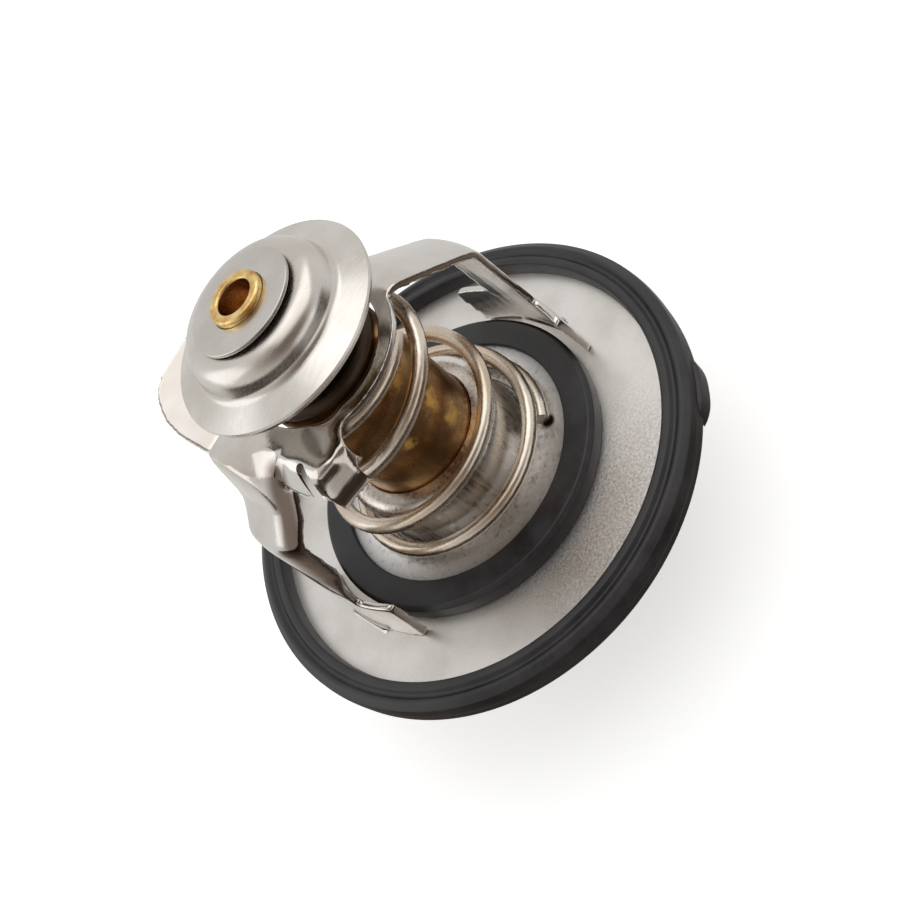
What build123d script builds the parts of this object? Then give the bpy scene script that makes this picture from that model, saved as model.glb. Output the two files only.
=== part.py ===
from build123d import *
import os
from math import cos, pi, radians, sin

os.makedirs("parts", exist_ok=True)

# Engine thermostat with a wax capsule and a bypass valve.
# Origin: on the capsule's axis, at the flange's metal face on the engine side.
# +Z runs along the axis towards the engine and the bypass tip, +X along the bridge.

# Driving dimensions, in millimetres
seal_radius = 30.0
flange_thickness = 1.2
seal_top = 2.1
seal_bottom = -2.8
sheet = 1.1
bridge_height = 27.2
foot_half_width = 8.5
foot_height = 7.4
capsule_radius = 7.5
stem_radius = 3.1
bypass_radius = 12.1
piston_radius = 2.0
piston_end = -21.2
wire = 1.8
bypass_wire = 1.0

# Named clearances
free_gap = 0.3
slide_gap = 0.1
running_gap = 0.06
seat_gap = 0.05

# Sizes that follow from them, from the axis outwards
mouth_widening = 1.0
cup_wall = 1.0
mouth_radius = capsule_radius + mouth_widening
collar_sheet = 0.8
collar_fit = 0.9
collar_radius = mouth_radius + collar_fit + collar_sheet
coil_room = 1.6
spring_seat_radius = collar_radius + coil_room + wire / 2
plate_room = 1.5
rubber_inner = spring_seat_radius + wire / 2 + plate_room
rubber_width = 3.6
rubber_outer = rubber_inner + rubber_width
valve_overlap = 1.3
valve_opening_radius = rubber_inner + valve_overlap
leg_room = 1.3
leg_radius = rubber_outer + leg_room + sheet
flange_cover = 2.0
flange_radius = seal_radius - flange_cover

# Heights that follow, from the bridge to the bypass tip
capsule_rise = 1.4
capsule_top = bridge_height + capsule_rise
rim_rise = 5.2
bypass_rim_height = capsule_top + rim_rise
tip_rise = 10.6
tip_height = capsule_top + tip_rise
crown_drop = 1.4
crown_top = tip_height - crown_drop

# Points along a spring for each half turn, and flats round its wire
coil_steps = 3
wire_flats = 8


def save(part, label):
    """Name one finished piece and write it out."""
    part.label = label
    export_step(part, f"parts/{label}.step")


def turned_sheet(points, bend, thickness):
    """Sheet pressed to a round shape: a bent centre line, given its thickness and turned about Z."""
    with BuildPart() as turned:
        with BuildSketch(Plane.XZ):
            with BuildLine():
                FilletPolyline(*points, radius=bend)
            trace(line_width=thickness)
        revolve(axis=Axis.Z)
    return turned.part


def turned_solid(points):
    """Solid turned about Z from the closed outline of half its section."""
    with BuildPart() as turned:
        with BuildSketch(Plane.XZ):
            with BuildLine():
                Polyline(*points, close=True)
            make_face()
        revolve(axis=Axis.Z)
    return turned.part


def between(stations, half_turns):
    """Smooth value between stations that stand half a turn apart."""
    last = len(stations) - 1
    first = min(int(half_turns), last - 1)
    share = half_turns - first
    before = stations[max(first - 1, 0)]
    low = stations[first]
    high = stations[first + 1]
    after = stations[min(first + 2, last)]
    bend = 2 * before - 5 * low + 4 * high - after
    twist = 3 * (low - high) + after - before
    return low + share / 2 * (high - before + share * (bend + share * twist))


def wound_spring(radii, rises, bottom, top, wire_diameter, start_angle):
    """Wire along a coil, from its radius and its share of the rise at each half turn."""
    points = []
    for step in range(coil_steps * (len(radii) - 1) + 1):
        half_turns = step / coil_steps
        radius = between(radii, half_turns)
        height = bottom + (top - bottom) * between(rises, half_turns)
        angle = radians(start_angle) + pi * half_turns
        points.append((radius * cos(angle), radius * sin(angle), height))
    with BuildPart() as coil:
        with BuildLine() as path:
            Spline(*points)
        with BuildSketch(Plane(origin=path.line @ 0, z_dir=path.line % 0)):
            RegularPolygon(wire_diameter / 2, wire_flats)
        sweep(path=path.line)
    return coil.part


# Flange: plate with the valve opening and a slot for each bridge tongue
tongue_width = 6.0
with BuildPart() as flange:
    with BuildSketch(Plane.XY.offset(-flange_thickness)):
        Circle(flange_radius)
        Circle(valve_opening_radius, mode=Mode.SUBTRACT)
        with Locations((leg_radius - sheet / 2, 0), (sheet / 2 - leg_radius, 0)):
            Rectangle(sheet + 2 * slide_gap, tongue_width + 2 * slide_gap, mode=Mode.SUBTRACT)
    extrude(amount=flange_thickness)
save(flange.part, "flange")

# Flange seal: U section round the rim, lip and groove on top, tapered side, locating lug
lip_width = 1.6
lip_radius = flange_radius - lip_width
lip_lean = 0.2
lip_dip = 0.1
groove_inset = 1.9
groove_radius = seal_radius - groove_inset
groove_depth = 0.6
rim_bevel = 1.0
side_slope = 0.15
side_taper = 0.6
side_top = 0.2
side_bottom = -1.4
lug_angle = -54.5
lug_spread = 8.2
lug_stand = 1.0
lug_depth = 3.6
with BuildPart() as flange_seal:
    with BuildSketch(Plane.XZ):
        with BuildLine():
            Polyline(
                (lip_radius, 0),
                (lip_radius + lip_lean, seal_top),
                (groove_radius - groove_depth, seal_top - lip_dip),
                (groove_radius, seal_top - groove_depth),
                (groove_radius + groove_depth, seal_top - lip_dip),
                (seal_radius - rim_bevel, seal_top - lip_dip),
                (seal_radius - side_slope, seal_top - groove_depth),
                (seal_radius, side_top),
                (seal_radius, side_bottom),
                (seal_radius - side_taper, seal_bottom + groove_depth),
                (seal_radius - side_taper - groove_depth, seal_bottom),
                (lip_radius + rim_bevel / 2, seal_bottom),
                (lip_radius, -flange_thickness),
                (flange_radius + free_gap, -flange_thickness),
                (flange_radius + free_gap, 0),
                close=True,
            )
        make_face()
    revolve(axis=Axis.Z)
    with BuildSketch(Plane.XY.offset(seal_bottom + groove_depth)):
        with PolarLocations(seal_radius - lug_stand, 1, start_angle=lug_angle):
            SlotOverall(2 * seal_radius * sin(radians(lug_spread)), lug_depth, rotation=90)
        Circle(flange_radius + rim_bevel, mode=Mode.SUBTRACT)
    extrude(amount=side_top - seal_bottom)
save(flange_seal.part, "flange_seal")

# Lower bridge: a pressed dome cut back to a hub, tapered arms, leaning legs and wide feet
hub_hole = capsule_radius + free_gap
hub_rim = 2.5
hub_radius = capsule_radius + hub_rim
hub_flat = 0.8
hub_edge = hub_radius + hub_flat
leg_lean = 1.5
shoulder_radius = leg_radius - leg_lean
shoulder_drop = 8.3
shoulder_height = bridge_height - shoulder_drop
press_bend = 2.2
mid_hub = bridge_height - sheet / 2
arm_root_half_width = 4.7
leg_half_width = 3.8
foot_corner = 0.7
fold_start = 3.0
wing_margin = 4.0
wing_edge = -hub_radius - wing_margin
wing_end = -6.5
wing_root = 7.0
wing_stand = 2.6
wing_reach = bypass_radius + wing_stand
wing_shoulder = 4.2
wing_neck = wing_reach - wing_shoulder
wing_flare = 2.5
wing_slope = 0.64
wing_corner = 5.4
wing_lip = 4.4
ear_margin = 1.0
ear_tip = wing_edge + ear_margin
ear_width = 5.8
ear_root = ear_tip + ear_width
ear_reach = -10.6
ear_slot_half_width = 0.55
ear_slot_length = 3.6
hook_angle = 231.6
hook_half_width = 1.4
hook_stand = 2.4
hook_radius = hub_radius + hook_stand
hook_drop = 3.8
hook_bottom = bridge_height - hook_drop
hook_curl = 1.5
hook_bend = 0.9
tongue_sheet = sheet - 2 * slide_gap
tongue_middle = leg_radius - sheet / 2
tongue_lip = 2.9
lip_middle = tongue_middle + (tongue_lip - tongue_sheet) / 2
tongue_overlap = 0.4
foot_sheet = 1.4
clinch_level = -flange_thickness - foot_sheet

# What the pressed dome is cut back to: hub and arms seen from above, feet seen from the side
with BuildPart() as outline:
    with BuildSketch(Plane.XY.offset(foot_height)):
        Circle(hub_radius)
        with BuildLine():
            Polyline(
                (leg_radius + sheet, leg_half_width),
                (hub_edge, arm_root_half_width),
                (-hub_edge, arm_root_half_width),
                (-leg_radius - sheet, leg_half_width),
                (-leg_radius - sheet, -leg_half_width),
                (-hub_edge, -arm_root_half_width),
                (hub_edge, -arm_root_half_width),
                (leg_radius + sheet, -leg_half_width),
                close=True,
            )
        make_face()
    extrude(amount=bridge_height)
    with BuildSketch(Plane.YZ) as foot:
        Rectangle(2 * foot_half_width, foot_height, align=(Align.CENTER, Align.MIN))
        fillet(foot.vertices().group_by(Axis.Y)[-1], foot_corner)
    extrude(amount=leg_radius + sheet, both=True)

# Flap on the far side, its outer corner rounded
with BuildPart() as flap:
    with BuildSketch(Plane.XY) as plan:
        with BuildLine():
            Polyline(
                (wing_end, wing_root),
                (wing_end, wing_neck),
                (wing_end + wing_flare, wing_reach),
                (wing_edge, wing_reach),
                (wing_edge, wing_root),
                close=True,
            )
        make_face()
        fillet(plan.vertices().group_by(Axis.X)[0].sort_by(Axis.Y)[-1], wing_corner)
    extrude(amount=2 * bridge_height)
    with BuildSketch(Plane.YZ.offset(wing_edge)):
        with BuildLine():
            Line(
                (wing_root - sheet, mid_hub - sheet * wing_slope),
                (wing_reach + sheet, mid_hub + (wing_reach + sheet - wing_root) * wing_slope),
            )
        trace(line_width=sheet)
    extrude(amount=wing_end + wing_flare - wing_edge, mode=Mode.INTERSECT)

with BuildPart() as lower_bridge:
    add(
        turned_sheet(
            [
                (hub_hole, mid_hub),
                (hub_edge, mid_hub),
                (shoulder_radius - sheet / 2, shoulder_height),
                (leg_radius - sheet / 2, -sheet),
            ],
            press_bend,
            sheet,
        )
    )
    add(outline.part, mode=Mode.INTERSECT)
    # Tongue under each foot, through the flange and bent outwards below the upper bridge
    for side in (1, -1):
        with BuildSketch(Plane.XY.offset(clinch_level - sheet)):
            with Locations((side * tongue_middle, 0)):
                Rectangle(tongue_sheet, tongue_width)
        extrude(amount=sheet - clinch_level + tongue_overlap)
        with BuildSketch(Plane.XY.offset(clinch_level - sheet)):
            with Locations((side * lip_middle, 0)):
                Rectangle(tongue_lip, tongue_width)
        extrude(amount=sheet)
    # Flat under the flap, with its outer edge folded down to the arm
    with BuildSketch(Plane.XY.offset(bridge_height - sheet)):
        with Locations((wing_end, fold_start)):
            Rectangle(wing_end - wing_edge, wing_root - fold_start, align=(Align.MAX, Align.MIN))
    extrude(amount=sheet)
    with BuildSketch(Plane.XY.offset(bridge_height - wing_lip)):
        with Locations((wing_edge, fold_start)):
            Rectangle(sheet, wing_root - fold_start, align=(Align.MIN, Align.MIN))
    extrude(amount=wing_lip)
    add(flap.part)
    # Ear on the near side, with a slot through it
    with BuildSketch(Plane.XY.offset(bridge_height - sheet)):
        with BuildLine():
            Polyline(
                (ear_root, -fold_start),
                (ear_root, ear_reach + sheet),
                (ear_root - sheet, ear_reach),
                (ear_tip + sheet, ear_reach + sheet),
                (ear_tip, -wing_root),
                (wing_edge + sheet, -fold_start),
                close=True,
            )
        make_face()
        with Locations(((ear_root + ear_tip) / 2 - sheet, (ear_reach - wing_root) / 2)):
            SlotOverall(ear_slot_length, 2 * ear_slot_half_width, rotation=50, mode=Mode.SUBTRACT)
    extrude(amount=sheet)
    # Hook below the ear, curled in round the spring's top coil
    with BuildSketch(
        Plane(
            origin=(0, 0, 0),
            x_dir=(cos(radians(hook_angle)), sin(radians(hook_angle)), 0),
            z_dir=(sin(radians(hook_angle)), -cos(radians(hook_angle)), 0),
        )
    ):
        with BuildLine():
            FilletPolyline(
                (hub_radius, mid_hub),
                (hook_radius, mid_hub),
                (hook_radius, hook_bottom),
                (hook_radius - hook_curl, hook_bottom),
                radius=hook_bend,
            )
        trace(line_width=sheet)
    extrude(amount=hook_half_width, both=True)
    # Hole through the hub for the capsule
    with BuildSketch(Plane.XY.offset(bridge_height - wing_lip)):
        Circle(hub_hole)
    extrude(amount=2 * wing_lip, mode=Mode.SUBTRACT)
save(lower_bridge.part, "lower_bridge")

# Upper bridge: bent strap under the flange, with a drawn socket for the piston
strap_half_width = 5.5
foot_toe = 2.1
foot_end = leg_radius + foot_toe
foot_heel = 4.1
foot_start = leg_radius - foot_heel
socket_half = 7.0
socket_radius = 3.6
socket_floor = 1.0
socket_rise = 1.4
strap_top = piston_end + socket_rise
foot_mid = -flange_thickness - foot_sheet / 2
with BuildPart() as upper_bridge:
    with BuildSketch(Plane.XZ):
        with BuildLine():
            FilletPolyline(
                (foot_end, foot_mid),
                (foot_start, foot_mid),
                (socket_half, strap_top - foot_sheet / 2),
                (-socket_half, strap_top - foot_sheet / 2),
                (-foot_start, foot_mid),
                (-foot_end, foot_mid),
                radius=press_bend,
            )
        trace(line_width=foot_sheet)
    extrude(amount=strap_half_width, both=True)
    with BuildSketch(Plane.XY.offset(piston_end - socket_floor)):
        Circle(socket_radius)
    extrude(amount=socket_rise + socket_floor)
    with BuildSketch(Plane.XY.offset(piston_end)):
        Circle(piston_radius + seat_gap)
    extrude(amount=socket_rise, mode=Mode.SUBTRACT)
    with BuildSketch(Plane.XY.offset(clinch_level)):
        with Locations((tongue_middle, 0), (-tongue_middle, 0)):
            Rectangle(sheet + 2 * free_gap, tongue_width + 2 * free_gap)
    extrude(amount=foot_sheet, mode=Mode.SUBTRACT)
save(upper_bridge.part, "upper_bridge")

# Valve collar: drawn cup over the capsule's crimp, with a foot flange under the valve plate
collar_top = 9.6
collar_round = 2.1
collar_bend = 0.9
collar_foot = 2.2
plate_bottom = 1.0
plate_thickness = 0.9
plate_top = plate_bottom + plate_thickness
plate_inner = collar_radius + collar_bend - collar_sheet / 2 + seat_gap
collar_mid = collar_radius - collar_sheet / 2
collar_ledge = plate_bottom - collar_sheet / 2
with BuildPart() as valve_collar:
    with BuildSketch(Plane.XZ):
        with BuildLine():
            crown = FilletPolyline(
                (capsule_radius + free_gap - collar_sheet, collar_top - collar_sheet / 2),
                (collar_mid, collar_top - collar_sheet / 2),
                (collar_mid, collar_top / 2),
                radius=collar_round,
            )
            FilletPolyline(
                crown @ 1,
                (collar_mid, collar_ledge),
                (collar_mid + collar_foot, collar_ledge),
                radius=collar_bend,
            )
        trace(line_width=collar_sheet)
    revolve(axis=Axis.Z)
    with BuildSketch(Plane.XY.offset(plate_top)):
        Circle(capsule_radius + seat_gap)
    extrude(amount=collar_top, mode=Mode.SUBTRACT)
save(valve_collar.part, "valve_collar")

# Valve plate: flat ring that carries the spring and the rubber
rubber_cover = 0.8
rubber_bevel = 0.5
plate_outer = rubber_outer - rubber_cover
valve_plate = turned_solid(
    [
        (plate_inner, plate_bottom),
        (plate_outer, plate_bottom),
        (plate_outer, plate_top),
        (plate_inner, plate_top),
    ]
)
save(valve_plate, "valve_plate")

# Valve rubber: ring round the plate's rim, flat on top and resting on the flange
rubber_top = plate_top + rubber_bevel
valve_rubber = turned_solid(
    [
        (rubber_inner, 0),
        (rubber_outer, 0),
        (rubber_outer, plate_top),
        (rubber_outer - rubber_bevel, rubber_top),
        (rubber_inner, rubber_top),
        (rubber_inner, plate_top),
        (plate_outer + seat_gap, plate_top),
        (plate_outer + seat_gap, plate_bottom),
        (rubber_inner, plate_bottom),
    ]
)
save(valve_rubber, "valve_rubber")

# Capsule cup: drawn brass cup, widened at its mouth and crimped round the guide
mouth_top = collar_top - collar_sheet - seat_gap
guide_top = 8.0
guide_flange_thickness = 2.0
guide_flange_bottom = guide_top - guide_flange_thickness
crimp_sheet = 0.8
crimp_reach = 1.6
crimp_bottom = guide_flange_bottom - crimp_sheet
guide_flange_radius = mouth_radius - cup_wall
diaphragm_thickness = 0.7
diaphragm_top = guide_top + diaphragm_thickness
dome_round = 1.4
inner_radius = capsule_radius - cup_wall
capsule_cup = turned_solid(
    [
        (0, capsule_top),
        (capsule_radius - dome_round, capsule_top),
        (capsule_radius, capsule_top - dome_round),
        (capsule_radius, mouth_top),
        (mouth_radius, mouth_top - collar_bend),
        (mouth_radius, crimp_bottom),
        (guide_flange_radius - crimp_reach, crimp_bottom),
        (guide_flange_radius - crimp_reach, guide_flange_bottom),
        (guide_flange_radius + seat_gap, guide_flange_bottom),
        (guide_flange_radius + seat_gap, diaphragm_top),
        (inner_radius, diaphragm_top),
        (inner_radius, capsule_top - cup_wall - dome_round),
        (inner_radius - dome_round, capsule_top - cup_wall),
        (0, capsule_top - cup_wall),
    ]
)
save(capsule_cup, "capsule_cup")

# Capsule guide: flange inside the crimp and a tapered body that the piston slides in
guide_tip = -9.0
guide_tip_radius = 3.9
guide_tip_length = 1.0
guide_body_radius = 4.4
guide_root_radius = guide_flange_radius - crimp_reach - seat_gap
cone_radius = 4.0
cone_bottom = 4.2
bore = piston_radius + running_gap
seal_pocket = 1.4
capsule_guide = turned_solid(
    [
        (cone_radius, guide_top),
        (guide_flange_radius, guide_top),
        (guide_flange_radius, guide_flange_bottom),
        (guide_root_radius, guide_flange_bottom),
        (guide_root_radius, crimp_bottom),
        (guide_body_radius, guide_tip + guide_tip_length),
        (guide_tip_radius, guide_tip),
        (piston_radius + seal_pocket, guide_tip),
        (piston_radius + seal_pocket, guide_tip + seal_pocket),
        (bore, guide_tip + seal_pocket),
        (bore, cone_bottom),
    ]
)
save(capsule_guide, "capsule_guide")

# Wax pellet
wax_radius = inner_radius - seat_gap
wax_top = capsule_top - cup_wall - seat_gap
wax_pellet = turned_solid(
    [
        (0, diaphragm_top),
        (wax_radius, diaphragm_top),
        (wax_radius, wax_top - dome_round),
        (wax_radius - dome_round, wax_top),
        (0, wax_top),
    ]
)
save(wax_pellet, "wax_pellet")

# Diaphragm
with BuildPart() as diaphragm:
    with BuildSketch(Plane.XY.offset(guide_top)):
        Circle(guide_flange_radius - seat_gap)
    extrude(amount=diaphragm_thickness)
save(diaphragm.part, "diaphragm")

# Rubber plug in the guide's cone
disc_top = 3.2
rubber_plug = turned_solid(
    [
        (0, disc_top),
        (bore - seat_gap, disc_top),
        (bore - seat_gap, cone_bottom),
        (cone_radius - seat_gap, guide_top),
        (0, guide_top),
    ]
)
save(rubber_plug, "rubber_plug")

# Anti-extrusion disc
disc_thickness = 1.0
disc_bottom = disc_top - disc_thickness
with BuildPart() as anti_extrusion_disc:
    with BuildSketch(Plane.XY.offset(disc_bottom)):
        Circle(piston_radius)
    extrude(amount=disc_thickness)
save(anti_extrusion_disc.part, "anti_extrusion_disc")

# Guide seal
guide_seal = turned_solid(
    [
        (bore, guide_tip + slide_gap),
        (piston_radius + seal_pocket - seat_gap, guide_tip + slide_gap),
        (piston_radius + seal_pocket - seat_gap, guide_tip + seal_pocket),
        (bore, guide_tip + seal_pocket),
    ]
)
save(guide_seal, "guide_seal")

# Piston
piston_bevel = 0.3
with BuildPart() as piston:
    with BuildSketch(Plane.XY.offset(piston_end)):
        Circle(piston_radius)
    extrude(amount=disc_bottom - piston_end)
    chamfer(piston.edges().filter_by(GeomType.CIRCLE), piston_bevel)
save(piston.part, "piston")

# Bypass stem: foot on the capsule, hollow from the tip down
stem_foot = 4.2
stem_foot_height = 0.8
stem_bevel = 0.3
stem_wall = 1.1
bore_radius = stem_radius - stem_wall
bore_depth = 6.2
bore_floor = tip_height - bore_depth
drill_point = 0.6
bypass_stem = turned_solid(
    [
        (0, capsule_top),
        (stem_foot, capsule_top),
        (stem_foot, capsule_top + stem_foot_height),
        (stem_radius, capsule_top + stem_foot_height + stem_bevel),
        (stem_radius, tip_height - stem_bevel),
        (stem_radius - stem_bevel, tip_height),
        (bore_radius + stem_bevel / 2, tip_height),
        (bore_radius, tip_height - stem_bevel),
        (bore_radius, bore_floor),
        (0, bore_floor - drill_point),
    ]
)
save(bypass_stem, "bypass_stem")

# Bypass disc: flat crown, full round dome, concave foot and a slightly coned rim
disc_sheet = 0.8
crown_mid = crown_top - disc_sheet / 2
rim_width = 3.5
dome_lean = 0.7
dome_foot_radius = bypass_radius - rim_width
crown_radius = dome_foot_radius - dome_lean
crown_round = 2.0
rim_cone = 1.6
rim_bend = 1.5
with BuildPart() as bypass_disc:
    with BuildSketch(Plane.XZ):
        with BuildLine():
            FilletPolyline(
                (stem_radius + slide_gap, crown_mid),
                (crown_radius, crown_mid),
                (dome_foot_radius, bypass_rim_height + rim_cone),
                (bypass_radius, bypass_rim_height - disc_sheet / 2),
                radius=(crown_round, rim_bend),
            )
        trace(line_width=disc_sheet)
    revolve(axis=Axis.Z)
save(bypass_disc.part, "bypass_disc")

# Bypass washer: flat ring on the stem, over the crown
washer_radius = 6.1
washer_thickness = 0.7
washer_bevel = 0.2
bypass_washer = turned_solid(
    [
        (stem_radius + seat_gap, crown_top),
        (washer_radius - washer_bevel, crown_top),
        (washer_radius, crown_top + washer_bevel),
        (washer_radius, crown_top + washer_thickness),
        (stem_radius + seat_gap, crown_top + washer_thickness),
    ]
)
save(bypass_washer, "bypass_washer")

# Main spring: conical, closed at both ends, its open coils steeper towards the hub
spring_bottom = plate_top + wire / 2 + seat_gap
spring_top = bridge_height - sheet - wire / 2 - seat_gap
hub_coil_radius = capsule_radius + wire / 2 + free_gap
coil_spread = spring_seat_radius - hub_coil_radius
main_shares = [1, 0.8, 0.875, 0.825, 0.44, 0.34, 0.24, 0.1, 0]
main_radii = [hub_coil_radius + coil_spread * share for share in main_shares]
main_rises = [0, 0.012, 0.089, 0.252, 0.405, 0.549, 0.875, 0.985, 1]
main_start = -50.0
main_spring = wound_spring(main_radii, main_rises, spring_bottom, spring_top, wire, main_start)
save(main_spring, "main_spring")

# Bypass spring: straight, from the capsule's end to the disc's crown
bypass_bottom = capsule_top + bypass_wire / 2 + seat_gap
bypass_top = crown_top - disc_sheet - bypass_wire / 2 - seat_gap
bypass_rises = [0, 0.05, 0.22, 0.5, 0.78, 0.95, 1]
bypass_radii = [stem_foot + bypass_wire / 2 + free_gap] * len(bypass_rises)
bypass_spring = wound_spring(bypass_radii, bypass_rises, bypass_bottom, bypass_top, bypass_wire, 0)
save(bypass_spring, "bypass_spring")
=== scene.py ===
"""Looks of an engine thermostat with a wax capsule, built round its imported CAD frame."""

import logging
import math
from dataclasses import dataclass, field
from enum import Enum
from typing import Any, Callable

import bmesh
import bpy
from bpy.types import Material, Mesh, Node, NodeSocket, NodeTree, Object
from mathutils import Matrix, Vector


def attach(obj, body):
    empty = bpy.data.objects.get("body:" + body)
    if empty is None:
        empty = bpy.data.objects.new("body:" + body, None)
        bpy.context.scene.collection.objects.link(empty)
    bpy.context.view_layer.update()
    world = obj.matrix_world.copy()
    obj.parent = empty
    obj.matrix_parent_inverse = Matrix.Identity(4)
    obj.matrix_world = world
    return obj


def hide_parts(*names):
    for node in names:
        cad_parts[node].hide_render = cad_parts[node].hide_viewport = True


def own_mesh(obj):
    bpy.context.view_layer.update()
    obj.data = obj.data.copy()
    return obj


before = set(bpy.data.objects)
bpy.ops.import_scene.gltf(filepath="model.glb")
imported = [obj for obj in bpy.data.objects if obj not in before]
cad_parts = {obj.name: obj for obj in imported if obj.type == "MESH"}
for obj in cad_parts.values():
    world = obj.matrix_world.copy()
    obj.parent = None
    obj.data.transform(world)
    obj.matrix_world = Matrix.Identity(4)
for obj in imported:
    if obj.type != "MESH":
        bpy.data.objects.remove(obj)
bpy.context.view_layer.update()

log = logging.getLogger("thermostat")

MM = 0.001
PHOTO_PIXELS = 900
WELD_GAP = 1e-7
ON_AXIS_MM = 1e-4
NEARLY_STRAIGHT = math.radians(178)
# How much of an outline's side one rounded corner may take
SIDE_SHARE = 0.49
# Share of a sheet's thickness that its cut edge is eased by
EDGE_EASE = 0.22
# How many times longer a deep-drawn place is smoothed than the rest
DRAWN_TIMES = 7
# Sockets of a mix node: the colour underneath and the one over it
UNDER = 6
OVER = 7

Point = tuple[float, float, float]
Pair = tuple[float, float]
Surface = Callable[[float, float], float]


class Body(Enum):
    """The rigid bodies of the frame that pieces ride on."""

    HOUSING = "housing"
    VALVE = "valve"
    BYPASS = "bypass"


# Node and colour helpers


def linear(code: str) -> tuple[float, float, float, float]:
    """Turns an sRGB hex colour into the linear values that the shaders use.

    Args:
        code: six hex digits, such as "c8c4bc".

    Returns:
        Linear red, green, blue and an alpha of 1.
    """
    parts = [int(code[at : at + 2], 16) / 255 for at in (0, 2, 4)]
    red, green, blue = (c / 12.92 if c <= 0.04045 else ((c + 0.055) / 1.055) ** 2.4 for c in parts)
    return red, green, blue, 1.0


def feed(tree: NodeTree, node: Node, inputs: dict[Any, Any]) -> None:
    """Gives a node's inputs their values and links.

    Args:
        tree: the node tree.
        node: the node that gets them.
        inputs: by name or number, a value, a socket, or a node for its first output in use.
    """
    for name, value in inputs.items():
        if isinstance(value, Node):
            value = next(socket for socket in value.outputs if socket.enabled)
        if isinstance(value, NodeSocket):
            tree.links.new(value, node.inputs[name])
        else:
            node.inputs[name].default_value = value


def add(
    tree: NodeTree,
    kind: str,
    inputs: dict[Any, Any] | None = None,
    stops: list[tuple[float, str]] | None = None,
    **settings: Any,
) -> Node:
    """Adds one node with its settings and links.

    Args:
        tree: the node tree that gets the node.
        kind: the node's type name.
        inputs: what its inputs get, as feed takes it.
        stops: positions and hex colours, for a node with a colour ramp.
        **settings: properties of the node.

    Returns:
        The new node.
    """
    made = tree.nodes.new(kind)
    for name, value in settings.items():
        setattr(made, name, value)
    feed(tree, made, inputs or {})
    if stops:
        ramp = made.color_ramp
        while len(ramp.elements) < len(stops):
            ramp.elements.new(1.0)
        for element, (place, code) in zip(ramp.elements, stops):
            element.position = place
            element.color = linear(code)
    return made


def new_material(name: str) -> tuple[Material, NodeTree, Node, NodeSocket]:
    """Starts a material.

    Args:
        name: what the real material is and how it was made.

    Returns:
        The material, its tree, its shader node and the object coordinates in metres.
    """
    material = bpy.data.materials.new(name)
    material.use_nodes = True
    tree = material.node_tree
    place = add(tree, "ShaderNodeTexCoord").outputs["Object"]
    return material, tree, tree.nodes["Principled BSDF"], place


def per_metre(size_mm: float) -> float:
    """Scale of a pattern whose features are this many millimetres across."""
    return 1.0 / (size_mm * MM)


def pattern(
    tree: NodeTree,
    place: Any,
    size_mm: float,
    detail: float,
    broken: float = 0.5,
    pull: Point | None = None,
) -> Node:
    """Lays an uneven pattern of a real size on a piece.

    Args:
        tree: the material's tree.
        place: the piece's coordinates.
        size_mm: how far across its features are.
        detail: how many finer layers it has.
        broken: how strong the finer layers are.
        pull: how many times finer it is along each axis, where it is pulled.

    Returns:
        The node whose value runs from 0 to 1.
    """
    if pull:
        place = add(tree, "ShaderNodeMapping", {"Vector": place, "Scale": pull})
    inputs = {"Vector": place, "Scale": per_metre(size_mm), "Detail": detail, "Roughness": broken}
    return add(tree, "ShaderNodeTexNoise", inputs)


def covered(
    tree: NodeTree,
    under: Node,
    over: str | Node,
    length: Any,
    span_mm: Pair,
    shares: Pair = (1.0, 0.0),
    blend: str = "LINEAR",
) -> tuple[Node, Node]:
    """Lays one colour over another, as far as a length says.

    Args:
        tree: the material's tree.
        under: the colour underneath.
        over: the covering colour, in hex or as a node.
        length: what gives the length, in metres.
        span_mm: the two lengths between which the cover changes.
        shares: how much it covers at each of them.
        blend: how it changes in between.

    Returns:
        The nodes with the new colour and with the cover's share.
    """
    share = add(
        tree,
        "ShaderNodeMapRange",
        {
            "Value": length,
            "From Min": span_mm[0] * MM,
            "From Max": span_mm[1] * MM,
            "To Min": shares[0],
            "To Max": shares[1],
        },
        interpolation_type=blend,
    )
    colour = linear(over) if isinstance(over, str) else over
    inputs = {"Factor": share, UNDER: under, OVER: colour}
    return add(tree, "ShaderNodeMix", inputs, data_type="RGBA"), share


def surface(
    tree: NodeTree,
    shader: Node,
    colour: Node,
    grain: Node,
    rough: Pair,
    relief: list[tuple[Node, float, Any]],
    window: Pair = (0.3, 0.7),
    metallic: Any = 1.0,
) -> None:
    """Gives a shader its colour, roughness and relief.

    Args:
        tree: the material's tree.
        shader: its shader node.
        colour: its colour.
        grain: the pattern that the roughness follows.
        rough: the roughness where that pattern is low and where it is high.
        window: the values of the pattern that count as low and high.
        relief: patterns that raise the surface, each with its depth in mm and its strength.
        metallic: 1 for a metal, 0 for anything else, or a node.
    """
    uneven = add(
        tree,
        "ShaderNodeMapRange",
        {
            "Value": grain,
            "From Min": window[0],
            "From Max": window[1],
            "To Min": rough[0],
            "To Max": rough[1],
        },
    )
    raised: dict[str, Node] = {}
    for height, depth_mm, strength in relief:
        inputs = {"Height": height, "Distance": depth_mm * MM, "Strength": strength}
        raised = {"Normal": add(tree, "ShaderNodeBump", inputs | raised)}
    feed(tree, shader, {"Base Color": colour, "Roughness": uneven, "Metallic": metallic} | raised)


# Finishes: rough is the roughness in a pattern's low and high places, and a relief pair is
# its depth in millimetres and its strength


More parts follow.
